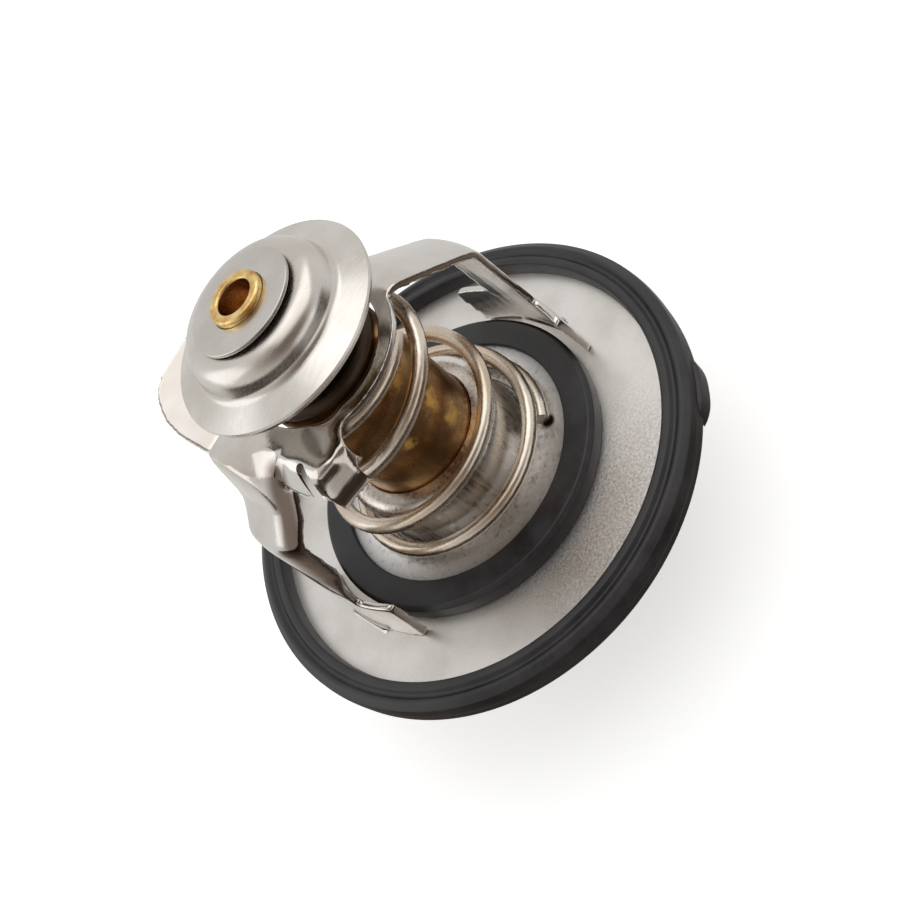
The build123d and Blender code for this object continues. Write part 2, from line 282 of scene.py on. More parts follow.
@dataclass(frozen=True)
class PressedSteel:
    """Bright sheet steel, rolled and pressed: wavering reflections, fine grain, and a brown band of
    painted reflection along a line.

    The eye gets a light warm-grey metal whose highlights break up at its edges and bends.
    """

    name: str
    light: str = "dedad4"
    warm: str = "b9aca0"
    rough: Pair = (0.2, 0.34)
    wave_mm: float = 5.0
    wave_relief: Pair = (0.3, 0.6)
    grain_mm: float = 0.25
    grain_relief: Pair = (0.06, 0.35)
    grain_stretch: float = 10.0
    tint_mm: float = 9.0
    painted_reflection_line: tuple[Point, Point] | None = None
    painted_reflection_reach: float = 2.1
    painted_reflection_core: float = 0.3
    painted_reflection_colour: str = "7c6f66"

    def material(self) -> Material:
        """Builds the steel from a warm tint, grain along the rolling direction and waves, with a
        painted reflection band where a line is given.
        """
        material, tree, shader, place = new_material(self.name)
        tint = pattern(tree, place, self.tint_mm, 3.0, 0.55)
        stops = [(0.36, self.warm), (0.58, self.light)]
        colour = add(tree, "ShaderNodeValToRGB", {"Fac": tint}, stops)
        # Painted reflection: a brown band along the line, full in its core and fading outwards,
        # stands in for the dark surroundings that this edge mirrors.
        if self.painted_reflection_line:
            start, end = (Vector(point) * MM for point in self.painted_reflection_line)
            away = self.off_line(tree, place, start, end - start)
            span = (self.painted_reflection_core * self.painted_reflection_reach, self.painted_reflection_reach)
            colour, _ = covered(tree, colour, self.painted_reflection_colour, away, span, blend="SMOOTHSTEP")
        stretch = self.grain_stretch
        grain = pattern(tree, place, self.grain_mm * stretch, 4.0, pull=(1.0, stretch, stretch))
        wave = pattern(tree, place, self.wave_mm, 2.0, 0.4)
        relief = [(wave, *self.wave_relief), (grain, *self.grain_relief)]
        surface(tree, shader, colour, grain, self.rough, relief)
        return material

    def off_line(self, tree: NodeTree, place: Any, start: Vector, line: Vector) -> Node:
        """Measures how far a place is from a line.

        Args:
            tree: the material's tree.
            place: the piece's coordinates.
            start: where the line starts, in metres.
            line: its direction and length.

        Returns:
            The node that gives the distance, in metres.
        """
        kind = "ShaderNodeVectorMath"
        there = add(tree, kind, {0: place, 1: start}, operation="SUBTRACT")
        unit = line / line.length_squared
        share = add(tree, kind, {0: there, 1: unit}, operation="DOT_PRODUCT")
        kept = add(tree, "ShaderNodeClamp", {"Value": share})
        nearest = add(tree, kind, {0: line, "Scale": kept}, operation="SCALE")
        return add(tree, kind, {0: there, 1: nearest}, operation="DISTANCE")


@dataclass(frozen=True)
class SatinSteel:
    """Rolled steel plate with a fine satin surface, speckled where coolant has dried on it.

    The eye gets an even light grey with soft reflections, and specks low on the right.
    """

    name: str
    light: str = "e2dfdc"
    dark: str = "d2cfca"
    specks: tuple[str, str, str] = ("918c87", "c6c1bc", "f2efea")
    rough: Pair = (0.3, 0.46)
    cloud_mm: float = 7.0
    grain_mm: float = 0.22
    grain_relief: Pair = (0.02, 0.5)
    speck_mm: float = 0.34
    speck_depth: float = 0.06
    speck_centre: Point = (4.0, -24.0, 0.0)
    speck_span: Pair = (5.1, 17.0)
    speck_shares: Pair = (0.5, 0.06)

    def material(self) -> Material:
        """Builds the plate from a fine grain and specks that fade out round one place."""
        material, tree, shader, place = new_material(self.name)
        cloud = pattern(tree, place, self.cloud_mm, 4.0)
        grain = pattern(tree, place, self.grain_mm, 3.0)
        speck = pattern(tree, place, self.speck_mm, 5.0, 0.7)
        centre = Vector(self.speck_centre) * MM
        away = add(tree, "ShaderNodeVectorMath", {0: place, 1: centre}, operation="DISTANCE")
        stops = [(0.35, self.dark), (0.6, self.light)]
        base = add(tree, "ShaderNodeValToRGB", {"Fac": cloud}, stops)
        stops = list(zip((0.4, 0.5, 0.62), self.specks))
        spots = add(tree, "ShaderNodeValToRGB", {"Fac": speck}, stops)
        colour, near = covered(tree, base, spots, away, self.speck_span, self.speck_shares)
        relief = [(grain, *self.grain_relief), (speck, self.speck_depth, near)]
        surface(tree, shader, colour, grain, self.rough, relief)
        return material


@dataclass(frozen=True)
class DrawnSteel:
    """Deep-drawn steel cup: streaks pulled along the axis, a brownish film in patches.

    The eye gets upright scratches that catch light on a mirror-like wall.
    """

    name: str
    light: str = "e3dfda"
    warm: str = "bfb1a2"
    rough: Pair = (0.22, 0.42)
    streak_mm: float = 0.5
    streak_pull: float = 0.06
    streak_relief: Pair = (0.08, 0.3)
    streak_window: Pair = (0.35, 0.65)
    film_mm: float = 4.0

    def material(self) -> Material:
        """Builds the cup from noise stretched along the axis."""
        material, tree, shader, place = new_material(self.name)
        streak = pattern(tree, place, self.streak_mm, 5.0, 0.6, (1.0, 1.0, self.streak_pull))
        film = pattern(tree, place, self.film_mm, 3.0)
        both = add(tree, "ShaderNodeMath", {0: streak, 1: film}, operation="ADD")
        half = add(tree, "ShaderNodeMath", {0: both, 1: 0.5}, operation="MULTIPLY")
        stops = [(0.42, self.warm), (0.5, self.light)]
        colour = add(tree, "ShaderNodeValToRGB", {"Fac": half}, stops)
        relief = [(streak, *self.streak_relief)]
        surface(tree, shader, colour, streak, self.rough, relief, self.streak_window)
        return material


@dataclass(frozen=True)
class MottledZinc:
    """Zinc-coated plate with a broken, sparkling surface, and painted shade towards its rim, next
    to the rubber ring.

    The eye gets bright and dark flecks side by side.
    """

    name: str
    flecks: tuple[str, str, str, str] = ("a5a3a1", "e0dedc", "f4f3f2", "ffffff")
    dark: str = "2b2928"
    rough: Pair = (0.51, 0.28)
    fleck_mm: float = 0.7
    fleck_relief: Pair = (0.18, 0.45)
    ragged_mm: float = 4.0
    rim_shade_span: Pair = (15.2, 17.6)
    rim_shade_share: float = 0.75
    shade_spot: Point = (8.5, -9.9, 1.9)
    shade_spot_span: Pair = (0.6, 1.0)

    def material(self) -> Material:
        """Builds the coat from flecks, painted shade at the rim with a ragged edge, and one painted
        dark spot of shade.
        """
        material, tree, shader, place = new_material(self.name)
        fleck = pattern(tree, place, self.fleck_mm, 6.0, 0.7)
        stops = list(zip((0.3, 0.43, 0.54, 0.7), self.flecks))
        colour = add(tree, "ShaderNodeValToRGB", {"Fac": fleck}, stops)
        out = add(tree, "ShaderNodeVectorMath", {0: place}, operation="LENGTH")
        ragged = {0: fleck, 1: self.ragged_mm * MM, 2: out}
        shifted = add(tree, "ShaderNodeMath", ragged, operation="MULTIPLY_ADD")
        # Painted shade: a dark spot beside the main spring's cut end.
        shade_spot = Vector(self.shade_spot) * MM
        away = add(tree, "ShaderNodeVectorMath", {0: place, 1: shade_spot}, operation="DISTANCE")
        # Painted shade: the plate darkens towards its rim by the rubber ring, with a ragged edge,
        # and at one spot beside the spring's end.
        edge, spot = (
            add(
                tree,
                "ShaderNodeMapRange",
                {
                    "Value": length,
                    "From Min": span[0] * MM,
                    "From Max": span[1] * MM,
                    "To Min": shares[0],
                    "To Max": shares[1],
                },
            )
            for length, span, shares in (
                (shifted, self.rim_shade_span, (0.0, self.rim_shade_share)),
                (away, self.shade_spot_span, (1.0, 0.0)),
            )
        )
        either = add(tree, "ShaderNodeMath", {0: edge, 1: spot}, operation="MAXIMUM")
        inputs = {"Factor": either, UNDER: colour, OVER: linear(self.dark)}
        mixed = add(tree, "ShaderNodeMix", inputs, data_type="RGBA")
        surface(tree, shader, mixed, fleck, self.rough, [(fleck, *self.fleck_relief)])
        return material


@dataclass(frozen=True)
class Brass:
    """Brass, turned bright or drawn and darkened by heat, with spots where the film is thin,
    painted shade over a top end and a painted tone in a bore.

    The eye gets gold on the tip, and brown with gold patches on the capsule.
    """

    name: str
    light: str
    dark: str
    patch_mm: float
    low: float
    high: float
    rough: Pair
    spots: tuple[tuple[Point, float], ...] = ()
    spot_colour: str = "f7c671"
    spot_core: float = 0.1
    spot_metallic: float = 0.7
    flake_mm: float = 1.1
    ragged_mm: float = 4.0
    stretch: float = 1.0
    bore_mm: float = 0.0
    bore_edge: float = 0.08
    bore_painted_tone: str = "c09c72"
    painted_end_shade_mm: float = 0.0
    painted_end_shade_fade: float = 0.8
    painted_end_shade_colour: str = "40352d"
    marks_mm: float = 0.2
    marks_pull: float = 0.05
    marks_relief: Pair = (0.08, 0.3)

    def material(self) -> Material:
        """Builds the brass from a patchy film, gold spots, painted shade at the top end, a painted
        tone in the bore and fine turning marks.
        """
        material, tree, shader, place = new_material(self.name)
        film = pattern(tree, place, self.patch_mm, 5.0, 0.6, (1.0, 1.0, self.stretch))
        stops = [(self.low, self.dark), (self.high, self.light)]
        colour = add(tree, "ShaderNodeValToRGB", {"Fac": film}, stops)
        metallic: Any = 1.0
        if self.spots:
            colour, metallic = self.shine(tree, place, colour)
        # Painted shade: above the given height the colour turns dark brown, for the shade under the
        # disc and bridge.
        if self.painted_end_shade_mm:
            height = add(tree, "ShaderNodeSeparateXYZ", {"Vector": place}).outputs["Z"]
            span = (self.painted_end_shade_mm, self.painted_end_shade_mm + self.painted_end_shade_fade)
            colour, _ = covered(tree, colour, self.painted_end_shade_colour, height, span, (0.0, 1.0))
        # Painted light and shade: the bore gets a flat tan in place of the brass, which sets how
        # bright the hole reads.
        if self.bore_mm:
            level = {0: place, 1: (1.0, 1.0, 0.0)}
            flat = add(tree, "ShaderNodeVectorMath", level, operation="MULTIPLY")
            out = add(tree, "ShaderNodeVectorMath", {0: flat}, operation="LENGTH")
            span = (self.bore_mm, self.bore_mm + self.bore_edge)
            colour, _ = covered(tree, colour, self.bore_painted_tone, out, span)
        pull = (self.marks_pull, self.marks_pull, 1.0)
        marks = pattern(tree, place, self.marks_mm, 2.0, pull=pull)
        relief = [(marks, *self.marks_relief)]
        surface(tree, shader, colour, film, self.rough, relief, metallic=metallic)
        return material

    def shine(self, tree: NodeTree, place: Any, colour: Node) -> tuple[Node, Node]:
        """Lays ragged gold spots over the film.

        Args:
            tree: the material's tree.
            place: the piece's coordinates.
            colour: the film's colour.

        Returns:
            The nodes with the new colour and with the metallic share.
        """
        flake = pattern(tree, place, self.flake_mm, 5.0, 0.7)
        polished: Any = 0.0
        for centre, reach in self.spots:
            ends = {0: place, 1: Vector(centre) * MM}
            away = add(tree, "ShaderNodeVectorMath", ends, operation="DISTANCE")
            ragged = {0: flake, 1: -self.ragged_mm * MM, 2: away}
            shifted = add(tree, "ShaderNodeMath", ragged, operation="MULTIPLY_ADD")
            middle = self.ragged_mm / 2
            span = (self.spot_core * reach - middle, reach - middle)
            gold = self.spot_colour
            colour, inside = covered(tree, colour, gold, shifted, span, blend="SMOOTHSTEP")
            polished = add(tree, "ShaderNodeMath", {0: polished, 1: inside}, operation="MAXIMUM")
        shares = {"Value": polished, "To Min": 1.0, "To Max": self.spot_metallic}
        return colour, add(tree, "ShaderNodeMapRange", shares)


@dataclass(frozen=True)
class MouldedRubber:
    """Nitrile rubber from a mould: dark grey, half matt, with dust and light wiping marks.

    The eye gets a dark ring with one soft broad highlight and a few rubbed places.
    """

    name: str
    dark: str = "1d1c1e"
    light: str = "343235"
    rough: Pair = (0.32, 0.54)
    dust_mm: float = 6.0
    grain_mm: float = 0.18
    grain_relief: Pair = (0.04, 0.35)

    def material(self) -> Material:
        """Builds the rubber from a dusty film and a fine mould grain."""
        material, tree, shader, place = new_material(self.name)
        dust = pattern(tree, place, self.dust_mm, 6.0, 0.62)
        stops = [(0.38, self.dark), (0.68, self.light)]
        colour = add(tree, "ShaderNodeValToRGB", {"Fac": dust}, stops)
        grain = pattern(tree, place, self.grain_mm, 3.0)
        relief = [(grain, *self.grain_relief)]
        surface(tree, shader, colour, dust, self.rough, relief, metallic=0.0)
        return material


@dataclass(frozen=True)
class Wax:
    """Wax mixed with copper powder: a copper-brown, half-matt solid with bright grains."""

    name: str
    light: str = "c98d5c"
    dark: str = "8d5a38"
    rough: Pair = (0.35, 0.6)
    grain_mm: float = 0.4
    grain_relief: Pair = (0.05, 0.4)

    def material(self) -> Material:
        """Builds the wax from copper grains in a darker body."""
        material, tree, shader, place = new_material(self.name)
        inputs = {"Vector": place, "Scale": per_metre(self.grain_mm)}
        grains = add(tree, "ShaderNodeTexVoronoi", inputs)
        stops = [(0.1, self.light), (0.5, self.dark)]
        colour = add(tree, "ShaderNodeValToRGB", {"Fac": grains}, stops)
        relief = [(grains, *self.grain_relief)]
        surface(tree, shader, colour, grains, self.rough, relief, (0.0, 1.0), 0.0)
        return material


# Mesh helpers


@dataclass(frozen=True)
class Corner:
    """One corner of a half section, in millimetres, and the radius that rounds it."""

    radius: float
    height: float
    bend: float = 0.0


def ease(value: float, start: float, reach: float) -> float:
    """Runs smoothly from 0 at the start to 1 a reach further on, and stays level beyond."""
    share = min(max((value - start) / reach, 0.0), 1.0)
    return share * share * (3 - 2 * share)


def swung(along: float, across: float, degrees: float) -> Pair:
    """Turns a place about the Z axis and gives its X and Y."""
    way = math.radians(degrees)
    x = along * math.cos(way) - across * math.sin(way)
    return x, along * math.sin(way) + across * math.cos(way)


def metres(x: float, y: float, z: float) -> Point:
    """Turns a point in millimetres into metres."""
    return x * MM, y * MM, z * MM


def rounded(corners: list[Corner], closed: bool = True, steps: int = 6) -> list[Pair]:
    """Rounds the corners of an outline.

    Args:
        corners: the outline's corners in order.
        closed: whether the last corner joins the first.
        steps: points on each rounded corner, less one.

    Returns:
        Points of the rounded outline, in millimetres.
    """
    places = [Vector((corner.radius, corner.height)) for corner in corners]
    last_at = len(corners) - 1
    points: list[Pair] = []
    for at, (corner, here) in enumerate(zip(corners, places)):
        back = places[at - 1] - here
        ahead = places[(at + 1) % len(places)] - here
        sharp = corner.bend <= 0 or (not closed and at in (0, last_at))
        if sharp or back.angle(ahead) > NEARLY_STRAIGHT:
            points.append((here.x, here.y))
            continue
        angle = back.angle(ahead)
        room = SIDE_SHARE * min(back.length, ahead.length)
        cut = min(corner.bend / math.tan(angle / 2), room)
        bend = cut * math.tan(angle / 2)
        back.normalize()
        ahead.normalize()
        middle = here + (back + ahead).normalized() * (bend / math.sin(angle / 2))
        first = here + back * cut - middle
        last = here + ahead * cut - middle
        start = math.atan2(first.y, first.x)
        sweep = math.remainder(math.atan2(last.y, last.x) - start, 2 * math.pi)
        for step in range(steps + 1):
            way = start + sweep * step / steps
            points.append((middle.x + bend * math.cos(way), middle.y + bend * math.sin(way)))
    return points


def sheet_outline(corners: list[Corner], thickness: float, steps: int = 10) -> list[Pair]:
    """Gives a bent centre line its thickness.

    Args:
        corners: the centre line's corners, with the bend of each.
        thickness: the sheet's thickness in millimetres.
        steps: points on each bend, less one.

    Returns:
        A closed outline with eased edges at both ends.
    """
    line = [Vector(point) for point in rounded(corners, closed=False, steps=steps)]
    half = thickness / 2
    eased = thickness * EDGE_EASE
    left: list[Vector] = []
    right: list[Vector] = []
    for at, point in enumerate(line):
        ahead = line[min(at + 1, len(line) - 1)] - line[max(at - 1, 0)]
        across = Vector((-ahead.y, ahead.x)).normalized() * half
        left.append(point + across)
        right.append(point - across)
    caps: list[list[Vector]] = []
    for end, inner in ((0, 1), (-1, -2)):
        along = (line[end] - line[inner]).normalized() * eased
        wall = (left[end] - right[end]).normalized() * (half - eased)
        caps.append([line[end] - wall, line[end] + wall])
        left[end] = left[end] - along
        right[end] = right[end] - along
    loop = left + caps[1][::-1] + right[::-1] + caps[0]
    return [(point.x, point.y) for point in loop]


def linked(name: str, data: bpy.types.ID) -> Object:
    """Makes an object of a mesh, lamp or camera and links it to the scene."""
    made = bpy.data.objects.new(name, data)
    bpy.context.scene.collection.objects.link(made)
    return made


def weld(mesh: Mesh, gap: float = WELD_GAP, outwards: bool = True) -> None:
    """Merges a mesh's doubled points and turns its faces outwards.

    Args:
        mesh: the mesh.
        gap: points closer than this, in metres, become one.
        outwards: whether the faces are turned.
    """
    made = bmesh.new()
    made.from_mesh(mesh)
    bmesh.ops.remove_doubles(made, verts=made.verts, dist=gap)
    if outwards:
        bmesh.ops.recalc_face_normals(made, faces=made.faces)
    made.to_mesh(mesh)
    made.free()


def mesh_object(name: str, verts: list[Any], faces: list[Any]) -> Object:
    """Makes a linked mesh object from points in metres, its faces turned outwards."""
    mesh = bpy.data.meshes.new(name)
    mesh.from_pydata(verts, [], faces)
    mesh.validate()
    weld(mesh)
    return linked(name, mesh)


def join(piece: Object, others: list[Object]) -> None:
    """Joins the meshes of other objects into a piece and removes those objects."""
    made = bmesh.new()
    for source in [piece, *others]:
        made.from_mesh(source.data)
    made.to_mesh(piece.data)
    made.free()
    for other in others:
        bpy.data.objects.remove(other)


def turned(name: str, outline: list[Pair], segments: int = 160) -> Object:
    """Turns a closed half section about the Z axis.

    Args:
        name: the piece's name.
        outline: points of the closed outline as radius and height, in millimetres.
        segments: steps round the axis.

    Returns:
        The closed mesh object.
    """
    verts: list[Point] = []
    rings: list[list[int]] = []
    for radius, height in outline:
        start = len(verts)
        if radius < ON_AXIS_MM:
            rings.append([start] * segments)
            verts.append(metres(0.0, 0.0, height))
            continue
        for step in range(segments):
            verts.append(metres(*swung(radius, 0.0, 360 * step / segments), height))
        rings.append(list(range(start, start + segments)))
    faces: list[list[int]] = []
    for ring, other in zip(rings, rings[1:] + rings[:1]):
        if ring[0] == ring[1] and other[0] == other[1]:
            continue
        for step in range(segments):
            after = (step + 1) % segments
            corners = [ring[step], ring[after], other[after], other[step]]
            faces.append([v for index, v in enumerate(corners) if v not in corners[:index]])
    return mesh_object(name, verts, faces)


def evaluated_copy(piece: Object) -> None:
    """Applies every modifier of a piece and removes them."""
    depsgraph = bpy.context.evaluated_depsgraph_get()
    given = piece.evaluated_get(depsgraph)
    result = bpy.data.meshes.new_from_object(given, depsgraph=depsgraph)
    piece.modifiers.clear()
    piece.data = result


def filled(
    name: str,
    along: list[float],
    across: list[float],
    top: Surface,
    low: Surface,
    skew: Surface = lambda x, share: share,
) -> Object:
    """Makes a closed solid between an upper and a lower surface.

    Args:
        name: the piece's name.
        along: the places along X, in millimetres.
        across: the places along Y, in millimetres, or shares that skew turns into them.
        top: height of the upper surface at a place.
        low: height of the lower surface at a place.
        skew: gives the place along Y from X and one value of across.

    Returns:
        The closed mesh object.
    """
    verts: list[Point] = []
    for height in (top, low):
        for x in along:
            for y in (skew(x, value) for value in across):
                verts.append(metres(x, y, height(x, y)))
    row = len(across)
    half = len(along) * row
    faces: list[list[int]] = []
    for start, flip in ((0, 1), (half, -1)):
        for i in range(len(along) - 1):
            for a in range(start + i * row, start + i * row + row - 1):
                faces.append([a, a + 1, a + 1 + row, a + row][::flip])
    rim = list(range(0, half, row))
    rim += list(range(half - row + 1, half))
    rim += list(range(half - row - 1, 0, -row))
    rim += list(range(row - 2, 0, -1))
    for here, after in zip(rim, rim[1:] + rim[:1]):
        faces.append([here, after, after + half, here + half])
    return mesh_object(name, verts, faces)


def softened(
    node: str,
    name: str,
    voxel_mm: float,
    passes: int,
    additions: list[Object] | None = None,
    press: Callable[[float, float, float], Point] | None = None,
    worn_mm: float = 0.0,
    drawn: Callable[[float, float, float], float] | None = None,
) -> Object:
    """Copies a pressed node and eases every edge, as shearing and pressing leave it.

    Args:
        node: the CAD node to start from.
        name: the new piece's name.
        voxel_mm: size of the new faces.
        passes: smoothing passes; more make rounder edges.
        additions: closed solids that the press leaves on the piece, merged into it.
        press: moves a point of the piece, in millimetres, as the press tool does.
        worn_mm: how much polishing takes off each face.
        drawn: from 0 to 1, how far deep drawing rounds the place more than the rest.

    Returns:
        The new mesh object.
    """
    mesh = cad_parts[node].data.copy()
    mesh.name = name
    mesh.materials.clear()
    weld(mesh, 1e-6, outwards=False)
    piece = linked(name, mesh)
    join(piece, additions or [])
    remesh = piece.modifiers.new("even_faces", "REMESH")
    remesh.mode = "VOXEL"
    remesh.voxel_size = voxel_mm * MM
    if press:
        evaluated_copy(piece)
        for vertex in piece.data.vertices:
            vertex.co = Vector(press(*(vertex.co / MM))) * MM
    if drawn:
        group = piece.vertex_groups.new(name="drawn")
        for vertex in piece.data.vertices:
            group.add([vertex.index], drawn(*(vertex.co / MM)), "REPLACE")
        more = piece.modifiers.new("drawn_round", "SMOOTH")
        more.factor = 0.5
        more.iterations = DRAWN_TIMES * passes
        more.vertex_group = "drawn"
    smooth = piece.modifiers.new("eased_edges", "SMOOTH")
    smooth.factor = 0.5
    smooth.iterations = passes
    evaluated_copy(piece)
    piece.vertex_groups.clear()
    if worn_mm:
        normals = [vertex.normal.copy() for vertex in piece.data.vertices]
        for vertex, normal in zip(piece.data.vertices, normals):
            vertex.co -= normal * worn_mm * MM
    return piece


def place(
    piece: Object,
    body: Body,
    slot: str,
    material: Material,
    nodes: tuple[str, ...],
    sharp_degrees: float = 35.0,
) -> Object:
    """Dresses a finished piece and hangs it on its body.

    Args:
        piece: the mesh object, its points in the row frame.
        body: what it moves with.
        slot: the record's material slot; not used.
        material: its finish.
        nodes: the CAD nodes that it stands for.
        sharp_degrees: edges sharper than this stay crisp.

    Returns:
        The same object.
    """
    piece.data.materials.clear()
    piece.data.materials.append(material)
    piece.data.polygons.foreach_set("material_index", [0] * len(piece.data.polygons))
    piece.data.shade_smooth()
    piece.data.set_sharp_from_angle(angle=math.radians(sharp_degrees))
    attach(piece, body.value)
    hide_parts(*nodes)
    log.info("%s: %d faces, rides on %s", piece.name, len(piece.data.polygons), body.value)
    return piece


def dress(node: str, material: Material) -> None:
    """Gives a CAD node that stays in view its material."""
    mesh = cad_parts[node].data
    mesh.materials.clear()
    mesh.materials.append(material)
    log.info("%s keeps its CAD mesh", node)


# Sub-assemblies


@dataclass
class Rim:
    """The flange plate and the rubber seal round it."""

    lip_radius: float = 26.4
    seal_radius: float = 30.0
    flange_radius: float = 28.0
    flange_thickness: float = 1.2
    seal_top: float = 2.1
    seal_bottom: float = -2.8
    lug_angle: float = -51.8
    lug_half_width: float = 4.1
    lug_stand: float = 0.8
    lug_top: float = 0.2
    lug_bottom: float = -2.3
    lug_sink: float = 0.25
    lug_roof: float = 1.2
    lug_fullness: float = 3.2
    lug_steps: int = 14

    def build(self) -> None:
        """Builds the seal with its lug and dresses the plate."""
        rubber = MouldedRubber("moulded_nitrile_rubber_seal").material()
        place(self.seal(), Body.HOUSING, "seal_rubber", rubber, ("flange_seal",), 40.0)
        dress("flange", SatinSteel("rolled_satin_steel_plate").material())

    def seal(self) -> Object:
        """Makes the seal's ring, with its locating lug joined to it."""
        top, low = self.seal_top, self.seal_bottom
        lip, wall = self.lip_radius, self.seal_radius
        fit = self.flange_radius + 0.3
        corners = [
            Corner(lip, 0.02, 0.05),
            Corner(lip + 0.2, top, 0.4),
            Corner(lip + 1.15, top - 0.1, 0.3),
            Corner(lip + 1.7, top - 0.65, 0.35),
            Corner(lip + 2.25, top - 0.1, 0.3),
            Corner(wall - 1.0, top - 0.1, 0.5),
            Corner(wall - 0.15, top - 0.65, 0.4),
            Corner(wall, 0.5, 0.3),
            Corner(wall, -0.1, 0.15),
            Corner(wall - 0.22, -0.3, 0.15),
            Corner(wall - 0.02, -0.5, 0.15),
            Corner(wall - 0.05, -1.3, 0.3),
            Corner(wall - 0.6, low + 0.6, 0.4),
            Corner(wall - 1.2, low, 0.4),
            Corner(lip + 0.5, low, 0.4),
            Corner(lip, -self.flange_thickness, 0.05),
            Corner(fit, -self.flange_thickness),
            Corner(fit, 0.0),
        ]
        ring = turned("flange_seal_ring", rounded(corners), 256)
        join(ring, [self.lug()])
        return ring

    def lug(self) -> Object:
        """Makes the rounded lug that keys the seal into its housing."""
        levels = [
            (self.lug_bottom, 0.25),
            (self.lug_bottom + 0.15, 0.0),
            (self.lug_top - 0.25, 0.0),
            (self.lug_top, 0.35),
        ]
        shares = [2 * step / self.lug_steps - 1 for step in range(self.lug_steps + 1)]
        points: list[Point] = []
        for height, less in levels:
            for share in shares:
                side = share * (self.lug_half_width - less)
                bulge = (self.lug_stand - less) * (1 - abs(share) ** self.lug_fullness)
                out = math.sqrt(self.seal_radius**2 - side**2) - self.lug_sink + bulge
                points.append((out, side, height))
        inside = self.seal_radius - self.lug_roof
        width = self.lug_half_width - levels[-1][1]
        points += [(inside, share * width, self.lug_top) for share in shares]
        verts = [metres(*swung(out, side, self.lug_angle), z) for out, side, z in points]
        row = len(shares)
        faces: list[list[int]] = []
        for start in range(0, len(levels) * row, row):
            for a in range(start, start + row - 1):
                faces.append([a, a + 1, a + 1 + row, a + row])
        return mesh_object("seal_lug", verts, faces)


